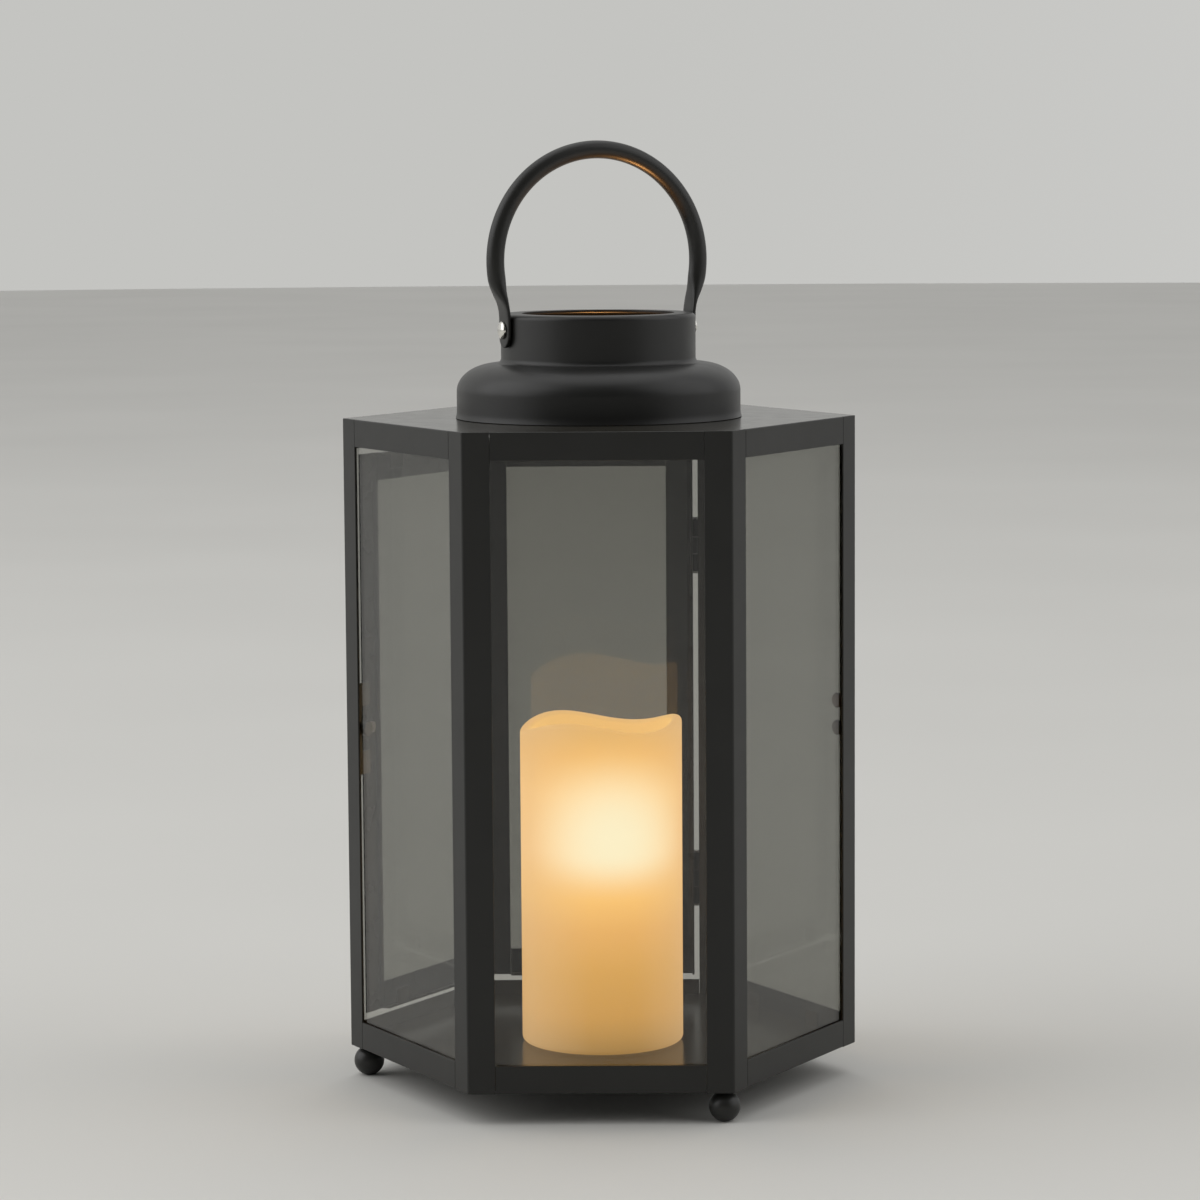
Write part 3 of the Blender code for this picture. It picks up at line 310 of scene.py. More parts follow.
def clear(name, tint, lamp_tint):
    """Polished clear glass or plastic, which mirrors the studio; lamps shine through it unbent."""
    made, tree, shader = material(name, Base_Color=colour(tint), Roughness=0.0, IOR=1.5,
                                  Transmission_Weight=1.0)
    passed = add(tree, "ShaderNodeBsdfTransparent", {"Color": colour(lamp_tint)})
    lamp_ray = add(tree, "ShaderNodeLightPath").outputs["Is Shadow Ray"]
    mix = add(tree, "ShaderNodeMixShader", {0: lamp_ray, 1: shader, 2: passed})
    feed(tree.nodes["Material Output"], {"Surface": mix})
    return made


def metal(name, code, low, high):
    """Bare or plated metal: roughness and a faint relief follow one grain, 0.8 mm across, which is
    coarser than the real 0.1 mm so that it shows."""
    made, tree, shader = material(name, Base_Color=colour(code), Metallic=1.0)
    place = add(tree, "ShaderNodeTexCoord").outputs["Object"]
    grain = add(tree, "ShaderNodeTexNoise", {"Vector": place, "Scale": 1 / (0.8 * MM), "Detail": 3})
    rough = add(tree, "ShaderNodeMapRange", NOISE_RANGE | {
        "Value": grain, "To Min": low, "To Max": high})
    relief = add(tree, "ShaderNodeBump", {"Height": grain, "Distance": 0.004 * MM, "Strength": 1.0})
    feed(shader, {"Roughness": rough, "Normal": relief})
    return made


def moulded(name, dark, light, roughness):
    """Injection-moulded plastic: clouds 6 mm across, and the grain of a spark-eroded mould, 0.7 mm
    across, which is coarser than the real 0.1 mm so that it shows."""
    made, tree, shader = material(name)
    place = add(tree, "ShaderNodeTexCoord").outputs["Object"]
    cloud = add(tree, "ShaderNodeTexNoise", {"Vector": place, "Scale": 1 / (6 * MM), "Detail": 2})
    tone = add(tree, "ShaderNodeValToRGB", {"Fac": cloud}, ((0.3, dark), (0.7, light)))
    grain = add(tree, "ShaderNodeTexNoise", {"Vector": place, "Scale": 1 / (0.7 * MM), "Detail": 2})
    rough = add(tree, "ShaderNodeMapRange", NOISE_RANGE | {
        "Value": grain, "To Min": roughness - 0.05, "To Max": roughness + 0.05})
    relief = add(tree, "ShaderNodeBump", {"Height": grain, "Distance": 0.01 * MM, "Strength": 1.0})
    feed(shader, {"Base Color": tone, "Roughness": rough, "Normal": relief})
    return made


def silicon_cell():
    """Blue-black silicon wafer with fine silver fingers 2 mm apart and two busbars."""
    made, tree, shader = material("silicon solar cell", Roughness=0.25)
    place = add(tree, "ShaderNodeTexCoord").outputs["Object"]
    parts = add(tree, "ShaderNodeSeparateXYZ", {"Vector": place}).outputs

    def lines(across, spacing, width):
        wave = add(tree, "ShaderNodeMath", {0: across, 1: spacing}, operation="PINGPONG")
        return add(tree, "ShaderNodeMath", {0: wave, 1: width}, operation="LESS_THAN")

    fine = lines(parts["X"], 1.0 * MM, 0.08 * MM)
    bars = lines(parts["Y"], 10.0 * MM, 0.5 * MM)
    silver = add(tree, "ShaderNodeMath", {0: fine, 1: bars}, operation="MAXIMUM")
    tone = add(tree, "ShaderNodeValToRGB", {"Fac": silver}, ((0.0, "101a33"), (1.0, "a8abb0")))
    feed(shader, {"Base Color": tone, "Metallic": silver})
    return made


def glowing_wax():
    """Ivory paraffin whose light from inside is painted on as emission: a painted glow, warm and
    darker at the foot, a painted pool of light on the front of the wall, painted paler towards both
    sides, amber in the bore. A soft skin scatters the studio light.

    Painted glow = colour of the height, mixed towards a paler one with the distance round the wall,
    then towards near white by smootherstep(1 - d / 52 mm), d being the distance to the point on the
    front of the wall where the pool of light is painted; the pool is cut off softly at the
    housing's top, with painted shade below it.
    """
    made, tree, shader = material("paraffin wax with painted glow", Subsurface_Weight=0.2,
                                  Subsurface_Radius=(1.0, 0.6, 0.35), Subsurface_Scale=6 * MM,
                                  Roughness=0.42, Specular_IOR_Level=0.4,
                                  Base_Color=colour("d0b48a"), Emission_Strength=WAX_PAINTED_GLOW)
    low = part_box("candle_wax")[0].z
    # point on the front of the wall where a pool of light is painted
    lamp = (5.8 * MM, -37 * MM)
    place = add(tree, "ShaderNodeTexCoord").outputs["Object"]
    height = add(tree, "ShaderNodeSeparateXYZ", {"Vector": place}).outputs["Z"]
    flat = add(tree, "ShaderNodeVectorMath", {0: place, 1: (1, 1, 0)}, operation="MULTIPLY")

    # painted glow by height: darkest and warmest at the foot, brightest about two thirds up
    shaft = add(tree, "ShaderNodeMapRange", {"Value": height, "From Min": low,
                                             "From Max": low + 150 * MM})
    glow = add(tree, "ShaderNodeValToRGB", {"Fac": shaft}, (
        (0.0, "947038"), (0.06, "b08442"), (0.12, "c29046"), (0.25, "ce9a4c"), (0.38, "e0a85c"),
        (0.48, "f2bc6c"), (0.62, "fdca88"), (0.80, "fdc87e"), (0.92, "ecb464"), (1.0, "dcac68")))

    # painted paler towards both sides: a painted sheen of the pale surround at the edges, and less
    # painted glow there
    round_wall = add(tree, "ShaderNodeVectorMath", {0: flat, 1: (*lamp, 0)}, operation="DISTANCE")
    side = add(tree, "ShaderNodeMapRange", {"Value": round_wall.outputs["Value"],
                                            "From Min": 10 * MM, "From Max": 42 * MM,
                                            "To Max": 0.48})
    glow = add(tree, "ShaderNodeMix", {"Factor": side, 6: glow, 7: colour("cda980")},
               data_type="RGBA").outputs[2]

    # painted glow of the bore, amber
    off_axis = add(tree, "ShaderNodeVectorMath", {0: flat, 1: (0, 0, 0)}, operation="DISTANCE")
    bore = add(tree, "ShaderNodeMapRange", {"Value": off_axis.outputs["Value"],
                                            "From Min": 34.5 * MM, "From Max": 32.5 * MM})
    glow = add(tree, "ShaderNodeMix", {"Factor": bore, 6: glow, 7: colour("d1a96a")},
               data_type="RGBA").outputs[2]

    # painted pool of light: near white round that point, faded out below the housing's top as
    # painted shade
    away = add(tree, "ShaderNodeVectorMath", {0: place, 1: (*lamp, FRAME_LOW + 102 * MM)},
               operation="DISTANCE")
    near = add(tree, "ShaderNodeMapRange", {"Value": away.outputs["Value"], "From Min": 52 * MM,
                                            "From Max": 0.0}, interpolation_type="SMOOTHERSTEP")
    above = add(tree, "ShaderNodeMapRange", {"Value": height, "From Min": FRAME_LOW + 72 * MM,
                                             "From Max": FRAME_LOW + 96 * MM},
                interpolation_type="SMOOTHSTEP")
    painted_hot_pool = add(tree, "ShaderNodeMath", {0: near, 1: above}, operation="MULTIPLY")
    glow = add(tree, "ShaderNodeMix", {"Factor": painted_hot_pool, 6: glow, 7: colour("f6eac8")},
               data_type="RGBA").outputs[2]

    skin = add(tree, "ShaderNodeTexNoise", {"Vector": place, "Scale": 1 / (14 * MM), "Detail": 3})
    relief = add(tree, "ShaderNodeBump", {"Height": skin, "Distance": 0.25 * MM, "Strength": 1.0})
    feed(shader, {"Emission Color": glow, "Normal": relief})
    return made


# Black-grey satin paint. Folded sheet and balls are dullest; the door shows a little more shine;
# on the collar the peel is drawn out round the metal; the flat plates mirror the pale surround, and
# their coat is painted lighter and warmer than the same paint elsewhere, as a painted reflection of
# it.
frame_coat = powder_coat("polyester powder coat on folded steel", "1e1e1c", "232321", 0.42)
door_coat = powder_coat("polyester powder coat on door frame", "1e1e1c", "232321", 0.28)
collar_coat = powder_coat("polyester powder coat on spun steel", "1d1d1c", "222221", 0.40,
                          stretch=(0.15, 0.15, 1.0))
# the same powder coat painted lighter and warmer: a painted reflection of the pale surround
plate_coat_painted_lighter = powder_coat("polyester powder coat on flat plates", "312f2a", "35332d", 0.20,
                         peel_depth=0.001 * MM)
tube_coat = powder_coat("polyester powder coat on bent tube", "20201e", "252523", 0.38)
ball_coat = powder_coat("polyester powder coat on turned balls", "222220", "282826", 0.40)

# Grey, see-through panes with clean reflections; the cover and the lens are almost colourless.
pane_glass = clear("smoked float glass", "b3b3ae", "dbdbd7")
clear_cover = clear("clear moulded cover", "f2f2f0", "f2f2f0")
diode_lens = clear("clear epoxy lens", "fff0d8", "fff0d8")

# Bright domes, a softly shining knob, a dull grey bracket and nearly black hinge leaves.
nickel = metal("bright nickel plate on pressed rivets", "dcdad4", 0.12, 0.26)
zinc = metal("zinc plate on turned pins", "9c9c9a", 0.28, 0.42)
bracket_zinc = metal("zinc plate on pressed bracket", "6e6e6c", 0.32, 0.48)
blackened = metal("blackened steel hinge leaves", "1c1b1a", 0.38, 0.5)

# Matt rubber, satin housings and a glossier board and sleeve.
black_rubber = moulded("black rubber buffer", "0c0c0c", "121212", 0.6)
brown_rubber = moulded("brown rubber buffer", "352518", "422f20", 0.6)
housing_plastic = moulded("ivory moulded housing", "d8ccb0", "e0d5bc", 0.42)
switch_plastic = moulded("black moulded switch", "1c1c1c", "242424", 0.4)
board_green = moulded("solder resist on the board", "1f4a30", "28583a", 0.35)
cell_sleeve = moulded("heat-shrunk sleeve on the cells", "3c6e4a", "447a54", 0.3)
lead_sleeve = moulded("extruded sleeve on the lead", "7a1f1a", "862620", 0.45)
bezel_plastic = moulded("ivory moulded bezel", "cdbf9f", "d8cbae", 0.4)

silicon = silicon_cell()
wax = glowing_wax()


# ---------------------------------------------------------------- folded sheet metal

def angle_outline(leg):
    """Section of a 120 degree angle, its bend outside at (corner, 0), opening towards the axis."""
    bend, edge = 1.4 * MM, SHARP_EDGE
    sides = []
    for sign in (-1, 1):
        along = np.array((-math.cos(math.radians(60)), sign * math.sin(math.radians(60))))
        inward = np.array((-along[1], along[0])) * sign
        sides.append((along * leg, along * leg + inward * SHEET))
    inner = (-SHEET / math.sin(math.radians(60)), 0)
    points = [(0, 0), sides[1][0], sides[1][1], inner, sides[0][1], sides[0][0]]
    outline = rounded(points, (bend, edge, edge, bend - SHEET * 0.9, edge, edge), 6)
    return outline + np.array((SIDE, 0))


def tab(middle, low, high):
    """Bent tab behind a pane, as (along, depth, up)."""
    half = TAB_WIDTH / 2
    outline = rounded([(middle - half, low), (middle + half, low), (middle + half, high),
                       (middle - half, high)], 1.2 * MM)
    return facing(carried(outline, -TAB_DEPTH - SHEET, -TAB_DEPTH))


def strip(span, heights, flange, depth, mitre=0):
    """Rail section carried along a face: an upright strip with an inward flange at a height.

    At the mitred end (-1 or 1) each point is pulled back by its depth / tan 60.
    """
    low, high = heights
    soft, crisp = 0.8 * MM, SHARP_EDGE
    if flange == low:
        points = [(0, low), (depth, low), (depth, low + SHEET), (SHEET, low + SHEET),
                  (SHEET, high), (0, high)]
        radii = (soft, crisp, crisp, crisp, crisp, crisp)
    elif flange + SHEET == high:
        points = [(0, low), (SHEET, low), (SHEET, flange), (depth, flange), (depth, high),
                  (0, high)]
        radii = (crisp, crisp, crisp, crisp, crisp, soft)
    else:
        points = [(0, low), (SHEET, low), (SHEET, flange), (depth, flange),
                  (depth, flange + SHEET), (SHEET, flange + SHEET), (SHEET, high), (0, high)]
        radii = (crisp, crisp, crisp, crisp, crisp, 0.1 * MM, 0.1 * MM, 0.5 * MM)
    points, faces = carried(rounded(points, radii), *span)
    along = points[:, 2]
    if mitre:
        ends = np.abs(along - mitre * HALF) < SHEET
        along = along - ends * mitre * (points[:, 0] / math.tan(math.radians(60)) + GAP / 2)
    return np.column_stack((along, points[:, 0], points[:, 1])), faces


def build_frame():
    """Posts, rails, headers, sills and the roof plate, each over its own solid."""
    angle = carried(angle_outline(POST_LEG), FRAME_LOW, FRAME_HIGH)
    for corner, turn in CORNER_TURN.items():
        if corner != "back_left":
            piece(f"folded_post_{corner}", spun(angle, turn), frame_coat, "lantern", "frame_paint",
                  f"post_{corner}")
    end = HALF - POST_LEG - HAIRLINE
    roof_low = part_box("roof_plate")[0].z
    flange = roof_low - GAP - SHEET
    for face in ("front", "front_right", "back_right", "front_left"):
        top = strip((-end, end), (FRAME_HIGH - TOP_RAIL, FRAME_HIGH), flange, RAIL_FLANGE)
        tabs = [tab(side * TAB_SPACING / 2, flange - TAB_HEIGHT, flange + SHEET / 2)
                for side in (-1, 1)]
        piece(f"folded_top_rail_{face}", on_face(joined(top, *tabs), face), frame_coat, "lantern",
              "frame_paint", f"top_rail_{face}")
        low, high = (corner.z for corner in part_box(f"bottom_rail_{face}"))
        bottom = strip((-end, end), (low, high), low, RAIL_FLANGE)
        piece(f"folded_bottom_rail_{face}", on_face(bottom, face), frame_coat, "lantern",
              "frame_paint", f"bottom_rail_{face}")
    for face, meet in DOOR_FACES.items():
        span = sorted((-meet * end, meet * HALF))
        for kind in ("header", "sill"):
            low, high = (corner.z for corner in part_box(f"{kind}_{face}"))
            level = flange if kind == "header" else low
            bar = strip(span, (low, high), level, RAIL_FLANGE, meet)
            piece(f"folded_{kind}_{face}", on_face(bar, face), frame_coat, "lantern",
                  "frame_paint", f"{kind}_{face}")

    # hexagonal plate with a round hole: radius from the hole to apothem / cos(angle off a face)
    segments, rings = 240, 14
    a = np.arange(segments)[:, None] * math.tau / segments
    outer = (APOTHEM - SHEET) / np.cos(a % math.radians(60) - math.radians(30))
    share = np.linspace(0, 1, rings)[None, :]
    radius = VENT_RADIUS + (outer - VENT_RADIUS) * share
    low, high = (corner.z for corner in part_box("roof_plate"))
    upper = np.dstack((radius * np.cos(a), radius * np.sin(a), high + 0 * radius))
    lower = np.dstack((radius * np.cos(a), radius * np.sin(a), low + 0 * radius))[:, ::-1]
    plate = np.concatenate((upper, lower), 1)
    piece("flat_roof", (plate.reshape(-1, 3), grid(segments, 2 * rings, True, True)), plate_coat_painted_lighter,
          "lantern", "frame_paint", "roof_plate")


def build_panes():
    """Panes with ground arrises, over the fixed and the door's glass solids."""
    corner_radius, arris = 0.8 * MM, 0.3 * MM

    def pane(name, node, ends, face, body):
        low, high = (corner.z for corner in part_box(node))
        outline = rounded([(ends[0], low), (ends[1], low), (ends[1], high), (ends[0], high)],
                          corner_radius, 3)
        sheet = facing(carried(outline, -PANE_DEPTH - PANE, -PANE_DEPTH, arris, 2))
        piece(name, on_face(sheet, face), pane_glass, body, "pane_glass", node)

    edge = HALF - PANE_EDGE
    for face in ("front", "front_right", "back_right", "front_left"):
        pane(f"float_glass_{face}", f"pane_{face}", (-edge, edge), face, "lantern")
    # the panes reach behind the hinge stile as far as its flange, and a little behind the latch one
    reach = {"back": STILE_EDGE - 2.7 * MM, "back_left": STILE_INNER + 3.5 * MM}
    for face, meet in DOOR_FACES.items():
        ends = sorted((-meet * reach[face], meet * edge))
        pane(f"float_glass_door_{face}", f"door_pane_{face}", ends, face, "door")


def build_door():
    """Door frame: corner post, stiles and rails."""
    low, high = (corner.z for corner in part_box("door_corner_post"))
    post = spun(carried(angle_outline(DOOR_FRAME), low, high), CORNER_TURN["back_left"])
    piece("folded_door_corner", post, door_coat, "door", "frame_paint", "door_corner_post")
    flange = TAB_DEPTH + SHEET
    sections = {
        "back": ([(STILE_EDGE, 0), (STILE_INNER, 0), (STILE_INNER, SHEET),
                  (STILE_EDGE - SHEET, SHEET), (STILE_EDGE - SHEET, flange), (STILE_EDGE, flange)],
                 (0.8 * MM,) + (SHARP_EDGE,) * 5, "door_hinge_stile"),
        "back_left": ([(STILE_EDGE, 0), (STILE_INNER, 0), (STILE_INNER, SHEET),
                       (STILE_EDGE, SHEET)], SHARP_EDGE, "door_latch_stile"),
    }
    for face, meet in DOOR_FACES.items():
        points, radii, node = sections[face]
        outline = rounded([(-meet * x, depth) for x, depth in points], radii)
        piece(node.replace("door", "folded_door"), on_face(carried(outline, low, high), face),
              door_coat, "door", "frame_paint", node)
        span = sorted((-meet * (STILE_INNER - HAIRLINE), meet * (HALF - DOOR_FRAME - HAIRLINE)))
        middle = sum(span) / 2
        top = strip(span, (high - DOOR_FRAME, high), high - SHEET, flange)
        tabs = [tab(middle + side * TAB_SPACING / 2, high - SHEET - TAB_HEIGHT, high - SHEET / 2)
                for side in (-1, 1)]
        piece(f"folded_door_top_{face}", on_face(joined(top, *tabs), face), door_coat, "door",
              "frame_paint", f"door_top_rail_{face}")
        bottom = strip(span, (low, low + DOOR_FRAME), low, flange)
        tabs = [tab(middle + side * TAB_SPACING / 2, low + SHEET / 2, low + SHEET + TAB_HEIGHT)
                for side in (-1, 1)]
        piece(f"folded_door_bottom_{face}", on_face(joined(bottom, *tabs), face), door_coat,
              "door", "frame_paint", f"door_bottom_rail_{face}")


# ---------------------------------------------------------------- collar, handle, feet

NECK = 44.7 * MM
LIP_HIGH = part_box("collar")[1].z
PIVOT = LIP_HIGH - 7.0 * MM
PIVOT_TURN = math.radians(23.7)
STRAP_CENTRE = NECK + GAP + 1.0 * MM
ACROSS = np.array((math.cos(PIVOT_TURN), math.sin(PIVOT_TURN), 0))     # along the pivot line


def build_collar():
    """Spun sheet, from the foot up: a slight flare, an elliptic shoulder, a fillet, the neck, and a
    rim rolled inwards to a flat ring."""
    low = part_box("collar")[0].z
    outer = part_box("collar")[1].x
    fillet, roll, rise, lip = 2.5 * MM, 2.2 * MM, 12.7 * MM, 9.7 * MM
    bend = (NECK + fillet, low + 12.0 * MM)      # centre of the shoulder's ellipse
    foot = np.linspace(0, 1, 16)
    flare = 0.5 * MM * np.clip(1 - foot * 4, 0, 1) ** 2
    upright = np.linspace(0, 1, 12)[1:-1]
    neck_low, neck_high = bend[1] + rise + fillet, LIP_HIGH - roll
    line = np.concatenate((
        np.column_stack((outer + flare, low + foot * (bend[1] - low))),
        arc(bend, (outer - bend[0], rise), 0, 90, 28)[1:],
        arc((bend[0], neck_low), (fillet, fillet), 270, 180, 10)[1:],
        np.column_stack((NECK + 0 * upright, neck_low + upright * (neck_high - neck_low))),
        arc((NECK - roll, neck_high), (roll, roll), 0, 90, 10),
        np.column_stack((np.linspace(NECK - roll, NECK - lip, 6)[1:], np.full(5, LIP_HIGH))),
    ))
    piece("spun_collar", turned(walled(line, SHEET), 192, ring=True), collar_coat, "lantern",
          "collar_paint", "collar")


def build_handle():
    """Bent tube with pressed ends, as sections carried along the bow.

    A section is (w |cos u|^p, t |sin u|^p) with p = 1 - 0.55 f. The flattening f falls as a
    smoothstep from 1 on the straps to 0 on the bow, and takes half width w and half thickness t
    from the strap's 5.75 and 1.0 mm to the tube's radius. The path is blurred over 3 mm to each
    side. Heights are measured from the pivot.
    """
    tube, strap_width, strap_half = 4.1 * MM, 5.75 * MM, 1.0 * MM
    tail, strap_top, bow_low = 8.0 * MM, 8.5 * MM, 10.5 * MM
    round_above, round_over = 24.0 * MM, 15.0 * MM
    centre, radius = 31.0 * MM, STRAP_CENTRE + 4.5 * MM
    tip, around = 9, 40                          # rows of a strap's round end, points of a section
    start = math.asin((bow_low - centre) / radius)
    up = np.arange(-tail + strap_width, strap_top, 1.0 * MM)
    a = np.linspace(start, math.pi / 2, 90)
    side = np.concatenate((np.column_stack((STRAP_CENTRE + 0 * up, up)),
                           np.column_stack((radius * np.cos(a), centre + radius * np.sin(a)))))
    path = np.concatenate((side, side[-2::-1] * (-1, 1)))
    padded = np.pad(path, ((3, 3), (0, 0)), "edge")
    path[3:-3] = sum(padded[i:i + len(path)] for i in range(7))[3:-3] / 7
    t = np.radians(np.linspace(4, 90, tip + 1))[:-1]
    end = np.column_stack((np.full(tip, STRAP_CENTRE), up[0] - strap_width * np.cos(t)))
    path = np.concatenate((end, path, end[::-1] * (-1, 1)))
    taper = np.concatenate((np.sin(t), np.ones(len(path) - 2 * tip), np.sin(t)[::-1]))
    share = np.clip((round_above - path[:, 1]) / round_over, 0, 1)
    flat = (share * share * (3 - 2 * share))[:, None]
    width = (tube + (strap_width - tube) * flat) * taper[:, None]
    thick = tube + (strap_half - tube) * flat
    along = unit(np.gradient(path, axis=0))
    u = np.arange(around)[None, :] * math.tau / around
    power = 1 - 0.55 * flat
    wide = width * np.sign(np.cos(u)) * np.abs(np.cos(u)) ** power
    deep = thick * np.sign(np.sin(u)) * np.abs(np.sin(u)) ** power
    out = path[:, :1] - along[:, 1:] * deep
    rise = path[:, 1:] + along[:, :1] * deep + PIVOT
    side_way = np.array((ACROSS[1], -ACROSS[0], 0))
    points = (out[..., None] * ACROSS + wide[..., None] * side_way
              + rise[..., None] * np.array((0, 0, 1)))
    piece("bail_handle", (points.reshape(-1, 3), tube_faces(*wide.shape)), tube_coat, "handle",
          "handle_paint", "handle")

    # each rivet has a dome outside the strap, and a shank through the collar with a head inside
    under, dome_radius, shank = STRAP_CENTRE + strap_half + 0.15 * MM, 4.0 * MM, 2.0 * MM
    dome = [(0, under), (3.8 * MM, under), (dome_radius, under + 0.15 * MM)]
    dome += arc((0, under + 0.5 * MM), (dome_radius, 1.4 * MM), 0, 90, 12).tolist()
    wall_out, wall_in = NECK + 0.1 * MM, NECK - SHEET - 0.1 * MM
    inner = [(0, wall_out), (shank, wall_out), (shank, wall_in), (3.2 * MM, wall_in),
             (3.4 * MM, wall_in - 0.2 * MM), (3.4 * MM, wall_in - 1.1 * MM),
             (3.1 * MM, wall_in - 1.4 * MM), (0, wall_in - 1.4 * MM)]
    for side, name in ((-1, "left"), (1, "right")):
        rivet = moved(joined(turned(dome, 48), turned(inner, 48)), (0, 0, PIVOT), ACROSS * side,
                      (0, 0, 1))
        piece(f"domed_rivet_{name}", rivet, nickel, "lantern", "rivet_metal",
              f"handle_rivet_{name}")


def build_feet():
    """Turned balls, each with a neck, a stud through the floor plate and a riveted head."""
    ball, flat, neck, stud, head = (size * MM for size in (7.0, 2.0, 3.0, 1.7, 2.8))
    centre = math.sqrt(ball**2 - flat**2)
    start = -math.degrees(math.asin(centre / ball))
    profile = [(0, 0)] + arc((0, centre), (ball, ball), start,
                             math.degrees(math.acos(neck / ball)), 28).tolist()
    for corner in ("left", "front_right", "back_right"):
        low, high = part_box(f"foot_{corner}")
        under = high.z - 1.0 * MM                # top of the floor plate
        shape = turned(profile + [(neck, FRAME_LOW + SHEET), (stud, FRAME_LOW + SHEET),
                                  (stud, under), (head, under), (head, under + 0.5 * MM),
                                  (head * 0.7, high.z), (0, high.z)], 64)
        middle = (low + high) / 2
        piece(f"ball_foot_{corner}", moved(shape, (middle.x, middle.y, 0)), ball_coat, "lantern",
              "foot_paint", f"foot_{corner}")


# ---------------------------------------------------------------- door fittings

CATCH_MIDDLE = FRAME_LOW + 148.0 * MM


def build_fittings():
    """Pull knob, catch bracket with its magnet, the hinges' rivet heads and two stop buttons."""
    # a ball, then the knob's collar, shank and riveted tail as (across, out) in mm
    ball = 4.0 * MM
    profile = [(0, 9.0 * MM)] + arc((0, 5.0 * MM), (ball, ball), 90, -56.6, 20)[1:].tolist()
    profile += [(across * MM, out * MM) for across, out in (
        (2.2, 1.1), (3.0, 1.1), (3.2, 0.9), (3.2, 0.3), (1.4, 0.3), (1.4, -1.3), (2.6, -1.3),
        (2.6, -2.7), (0, -2.7))]
    knob = facing(turned(profile, 48), (STILE_EDGE - 5.3 * MM, CATCH_MIDDLE))
    piece("turned_knob", on_face(knob, "back_left"), zinc, "door", "knob_paint", "door_knob")

    # E-shaped plate: two arms that stop the door, and a short tongue for the magnet's disc
    low, high = CATCH_MIDDLE - 21.5 * MM, CATCH_MIDDLE + 21.5 * MM
    arm, half = 11.0 * MM, 2.5 * MM
    corner, edge = HALF - 2.5 * MM, HALF - POST_LEG + 0.5 * MM
    reach, magnet = STILE_EDGE - 3.5 * MM, HALF - POST_LEG - DOOR_SIDE_GAP / 2
    outline = rounded([(corner, high), (corner, low), (reach, low), (reach, low + arm),
                       (edge, low + arm), (edge, CATCH_MIDDLE - half),
                       (magnet, CATCH_MIDDLE - half), (magnet, CATCH_MIDDLE + half),
                       (edge, CATCH_MIDDLE + half), (edge, high - arm), (reach, high - arm),
                       (reach, high)], 0.5 * MM)
    back, disc_radius = -PANE_DEPTH - SHEET, 3.5 * MM
    plate = facing(carried(outline, back, -PANE_DEPTH))
    disc = [(0, back + 0.1 * MM), (disc_radius, back + 0.1 * MM), (disc_radius, back - 2.2 * MM),
            (3.2 * MM, back - 2.5 * MM), (0, back - 2.5 * MM)]
    disc = facing(turned(disc, 40), (magnet, CATCH_MIDDLE))
    piece("catch_stop", on_face(joined(plate, disc), "back_left"), bracket_zinc, "lantern",
          "catch_steel", "catch_bracket")

    leaf, head_radius = 1.0 * MM, 1.5 * MM
    head = [(0, leaf), (head_radius, leaf)]
    head += arc((0, 1.2 * MM), (head_radius, 0.5 * MM), 0, 90, 6).tolist()
    axis = -(HALF - POST_LEG - DOOR_SIDE_GAP / 2)
    from_pin, from_middle = 5.8 * MM, 7.5 * MM
    for side, body in ((-1, "lantern"), (1, "door")):
        heads = []
        for place in ("lower", "upper"):
            low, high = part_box(f"hinge_pin_{place}")
            middle = (low.z + high.z) / 2
            heads += [facing(turned(head, 24), (axis + side * from_pin, middle + up * from_middle))
                      for up in (-1, 1)]
        piece(f"hinge_rivets_{body}", on_face(joined(*heads), "back"), blackened, body,
              "hinge_paint")

    inside, button_radius, from_corner = -PANE_DEPTH - PANE, 3.5 * MM, 11.0 * MM
    button = [(0, inside), (button_radius, inside), (button_radius, inside - 1.4 * MM),
              (2.9 * MM, inside - 2.0 * MM), (0, inside - 2.0 * MM)]
    for name, up, look in (("lower", 147.7 * MM, black_rubber),
                           ("upper", 160.5 * MM, brown_rubber)):
        place = (from_corner - HALF, FRAME_LOW + up)
        piece(f"stop_button_{name}", on_face(facing(turned(button, 40), place), "back_right"), look,
              "lantern", "switch_plastic")


# ---------------------------------------------------------------- candle

def build_candle():
    """Wax shell: rounded foot, wall, soft melted crown, bore with a step.

    The rim at a turn a is at mean + 2.5 cos(3 a - 22 deg) + 1.2 cos(a + 82 deg), in mm; each
    column of the wall ends there.
    """
    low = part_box("candle_wax")[0].z
    radius, wall, foot = 37.5 * MM, 5.0 * MM, 2.5 * MM
    bore, lip = radius - wall, 1.5 * MM
    a = np.arange(240)[:, None] * math.tau / 240
    rim = (low + 149.5 * MM + 2.5 * MM * np.cos(3 * a - math.radians(22))
           + 1.2 * MM * np.cos(a + math.radians(82)))
    ledge = low + 120.0 * MM
    bottom = arc((radius - foot, low + foot), (foot, foot), -90, 0, 8)
    crown = arc((radius - wall / 2, 0), (wall / 2, wall * 0.45), 0, 180, 18)
    share = np.linspace(0, 1, 40)[None, 1:-1]
    shoulder = rim - wall * 0.45
    outside = low + foot + share * (shoulder - low - foot)
    inside = shoulder + share[:, ::3] * (ledge - shoulder)
    step = np.array(((bore, ledge), (bore - lip, ledge), (bore - lip, low)))
    around = np.concatenate((bottom[:, 0], np.full(outside.shape[1], radius), crown[:, 0],
                             np.full(inside.shape[1], bore), step[:, 0]))[None, :]
    level = np.concatenate((bottom[:, 1] + 0 * a, outside, shoulder + crown[None, :, 1], inside,
                            step[:, 1] + 0 * a), 1)
    points = np.dstack((around * np.cos(a), around * np.sin(a), level))
    piece("candle_shell", (points.reshape(-1, 3), grid(240, level.shape[1], True, True)), wax,
          "candle", "wax", "candle_wax")


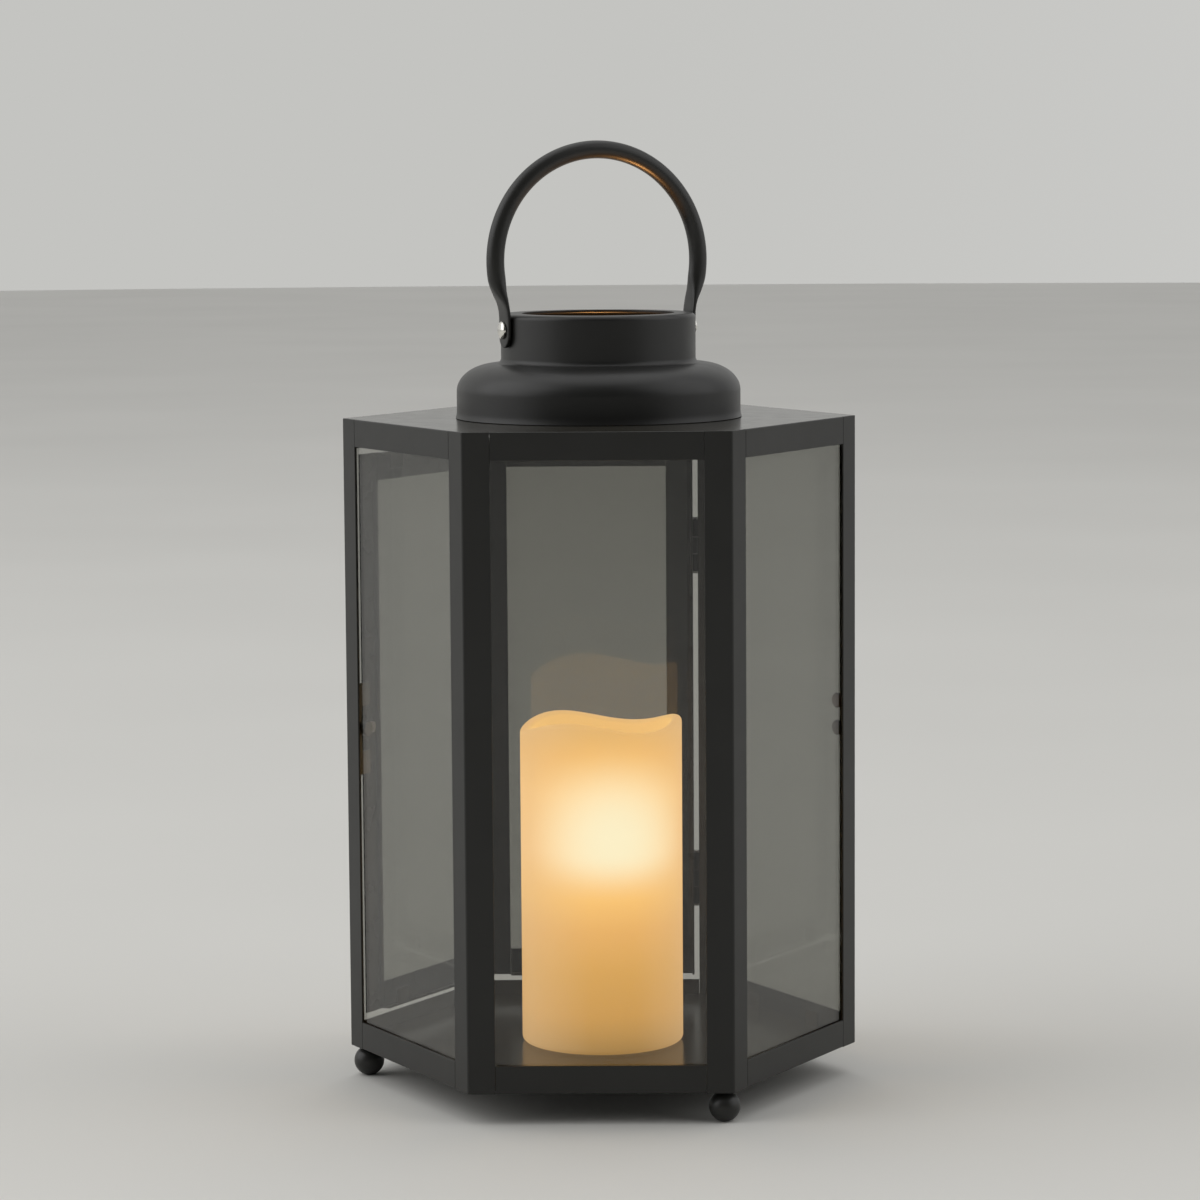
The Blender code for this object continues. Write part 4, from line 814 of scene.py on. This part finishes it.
def carried_over():
    """Materials of the solids that stay as they are."""
    looks = {
        "floor_plate": plate_coat_painted_lighter,
        "hinge_door_leaf_lower": blackened, "hinge_door_leaf_upper": blackened,
        "hinge_post_leaf_lower": blackened, "hinge_post_leaf_upper": blackened,
        "hinge_pin_lower": zinc, "hinge_pin_upper": zinc,
        "battery_housing": housing_plastic, "battery_cover": housing_plastic,
        "slide_switch": switch_plastic, "led_board": board_green, "led": diode_lens,
        "battery_a": cell_sleeve, "battery_b": cell_sleeve, "charge_lead": lead_sleeve,
        "solar_bezel": bezel_plastic, "solar_cell": silicon, "solar_cover": clear_cover,
    }
    for name, look in looks.items():
        nodes[name].data.materials.clear()
        nodes[name].data.materials.append(look)


build_frame()
build_panes()
build_door()
build_collar()
build_handle()
build_feet()
build_fittings()
build_candle()
carried_over()


# ---------------------------------------------------------------- camera, lights, floor

def lit(name, kind, place, power, target):
    """Lamp at a place, aimed at a target; returns its data."""
    lamp = bpy.data.lights.new(name, kind)
    lamp.energy = power
    made = bpy.data.objects.new(name, lamp)
    made.location = place
    made.rotation_euler = (Vector(target) - Vector(place)).to_track_quat("-Z", "Y").to_euler()
    bpy.context.scene.collection.objects.link(made)
    return lamp


def build_studio():
    """Pale round floor, pale surround, soft lamps above and at both sides, and the camera."""
    a = np.arange(96) * math.tau / 96
    radius = 12.0
    rim = np.column_stack((radius * np.cos(a), radius * np.sin(a), 0 * a))
    mesh = bpy.data.meshes.new("studio_floor")
    mesh.from_pydata(rim.tolist(), [], [list(range(len(rim)))])
    floor = bpy.data.objects.new("studio_floor", mesh)
    bpy.context.scene.collection.objects.link(floor)
    paper, tree, shader = material("matt paper floor", Roughness=0.8, Specular_IOR_Level=0.2)
    place = add(tree, "ShaderNodeTexCoord").outputs["Object"]
    cloud = add(tree, "ShaderNodeTexNoise", {"Vector": place, "Scale": 1 / 0.6, "Detail": 2})
    tone = add(tree, "ShaderNodeValToRGB", {"Fac": cloud}, ((0.3, "d2d1cd"), (0.7, "d6d5d1")))
    feed(shader, {"Base Color": tone})
    mesh.materials.append(paper)

    # the surround is darkest behind the camera and palest at the back, towards the left
    world = bpy.data.worlds.new("pale surround")
    world.use_nodes = True
    tree = world.node_tree
    way = add(tree, "ShaderNodeTexCoord").outputs["Generated"]
    depth = add(tree, "ShaderNodeVectorMath", {0: way, 1: (-0.25, 1.0, 0.0)},
                operation="DOT_PRODUCT").outputs["Value"]
    share = add(tree, "ShaderNodeMapRange", {"Value": depth, "From Min": -1.0})
    tone = add(tree, "ShaderNodeValToRGB", {"Fac": share}, (
        (0.0, "484847"), (0.3, "6c6c6a"), (0.64, "acacad"), (0.86, "e2e2e0"), (0.94, "d0d0ce"),
        (1.0, "c4c4c1")))
    feed(tree.nodes["Background"], {"Color": tone})
    bpy.context.scene.world = world
    bpy.context.scene.view_settings.view_transform = "Standard"

    middle = (0, 0, 0.2)
    overhead = lit("overhead light", "SUN", (0, 0.6, 4.0), 0.7, (0, 0, 0))
    overhead.angle = math.radians(60)
    for name, across, power in (("left softbox", -3.6, 92), ("right softbox", 3.6, 64)):
        lamp = lit(name, "AREA", (across, -0.5, 2.4), power, middle)
        lamp.size = 4.5
    # light that leaves the candle's open top, passes the collar and reaches the handle
    glow = lit("candle light upwards", "SPOT", (0, 0, 0.145), 3.5, (0, 0, 1))
    glow.color = colour("ffb469")[:3]
    glow.spot_size = math.radians(70)
    glow.spot_blend = 1.0
    glow.shadow_soft_size = 12 * MM

    lens = bpy.data.cameras.new("camera")
    lens.sensor_width = 36
    lens.lens = 119.4
    camera = bpy.data.objects.new("camera", lens)
    bpy.context.scene.collection.objects.link(camera)
    # metres from the axis and above the floor; degrees
    distance, height = 1.829, 0.410 + FRAME_LOW
    turn, pitch, roll = (math.radians(v) for v in (0.53, -6.28, -0.39))
    camera.location = (distance * math.sin(turn), -distance * math.cos(turn), height)
    view = Vector((-math.sin(turn) * math.cos(pitch), math.cos(turn) * math.cos(pitch),
                   math.sin(pitch)))
    look = view.to_track_quat("-Z", "Y").to_matrix().to_4x4()
    camera.rotation_euler = (look @ Matrix.Rotation(roll, 4, "Z")).to_euler()
    bpy.context.scene.camera = camera


build_studio()
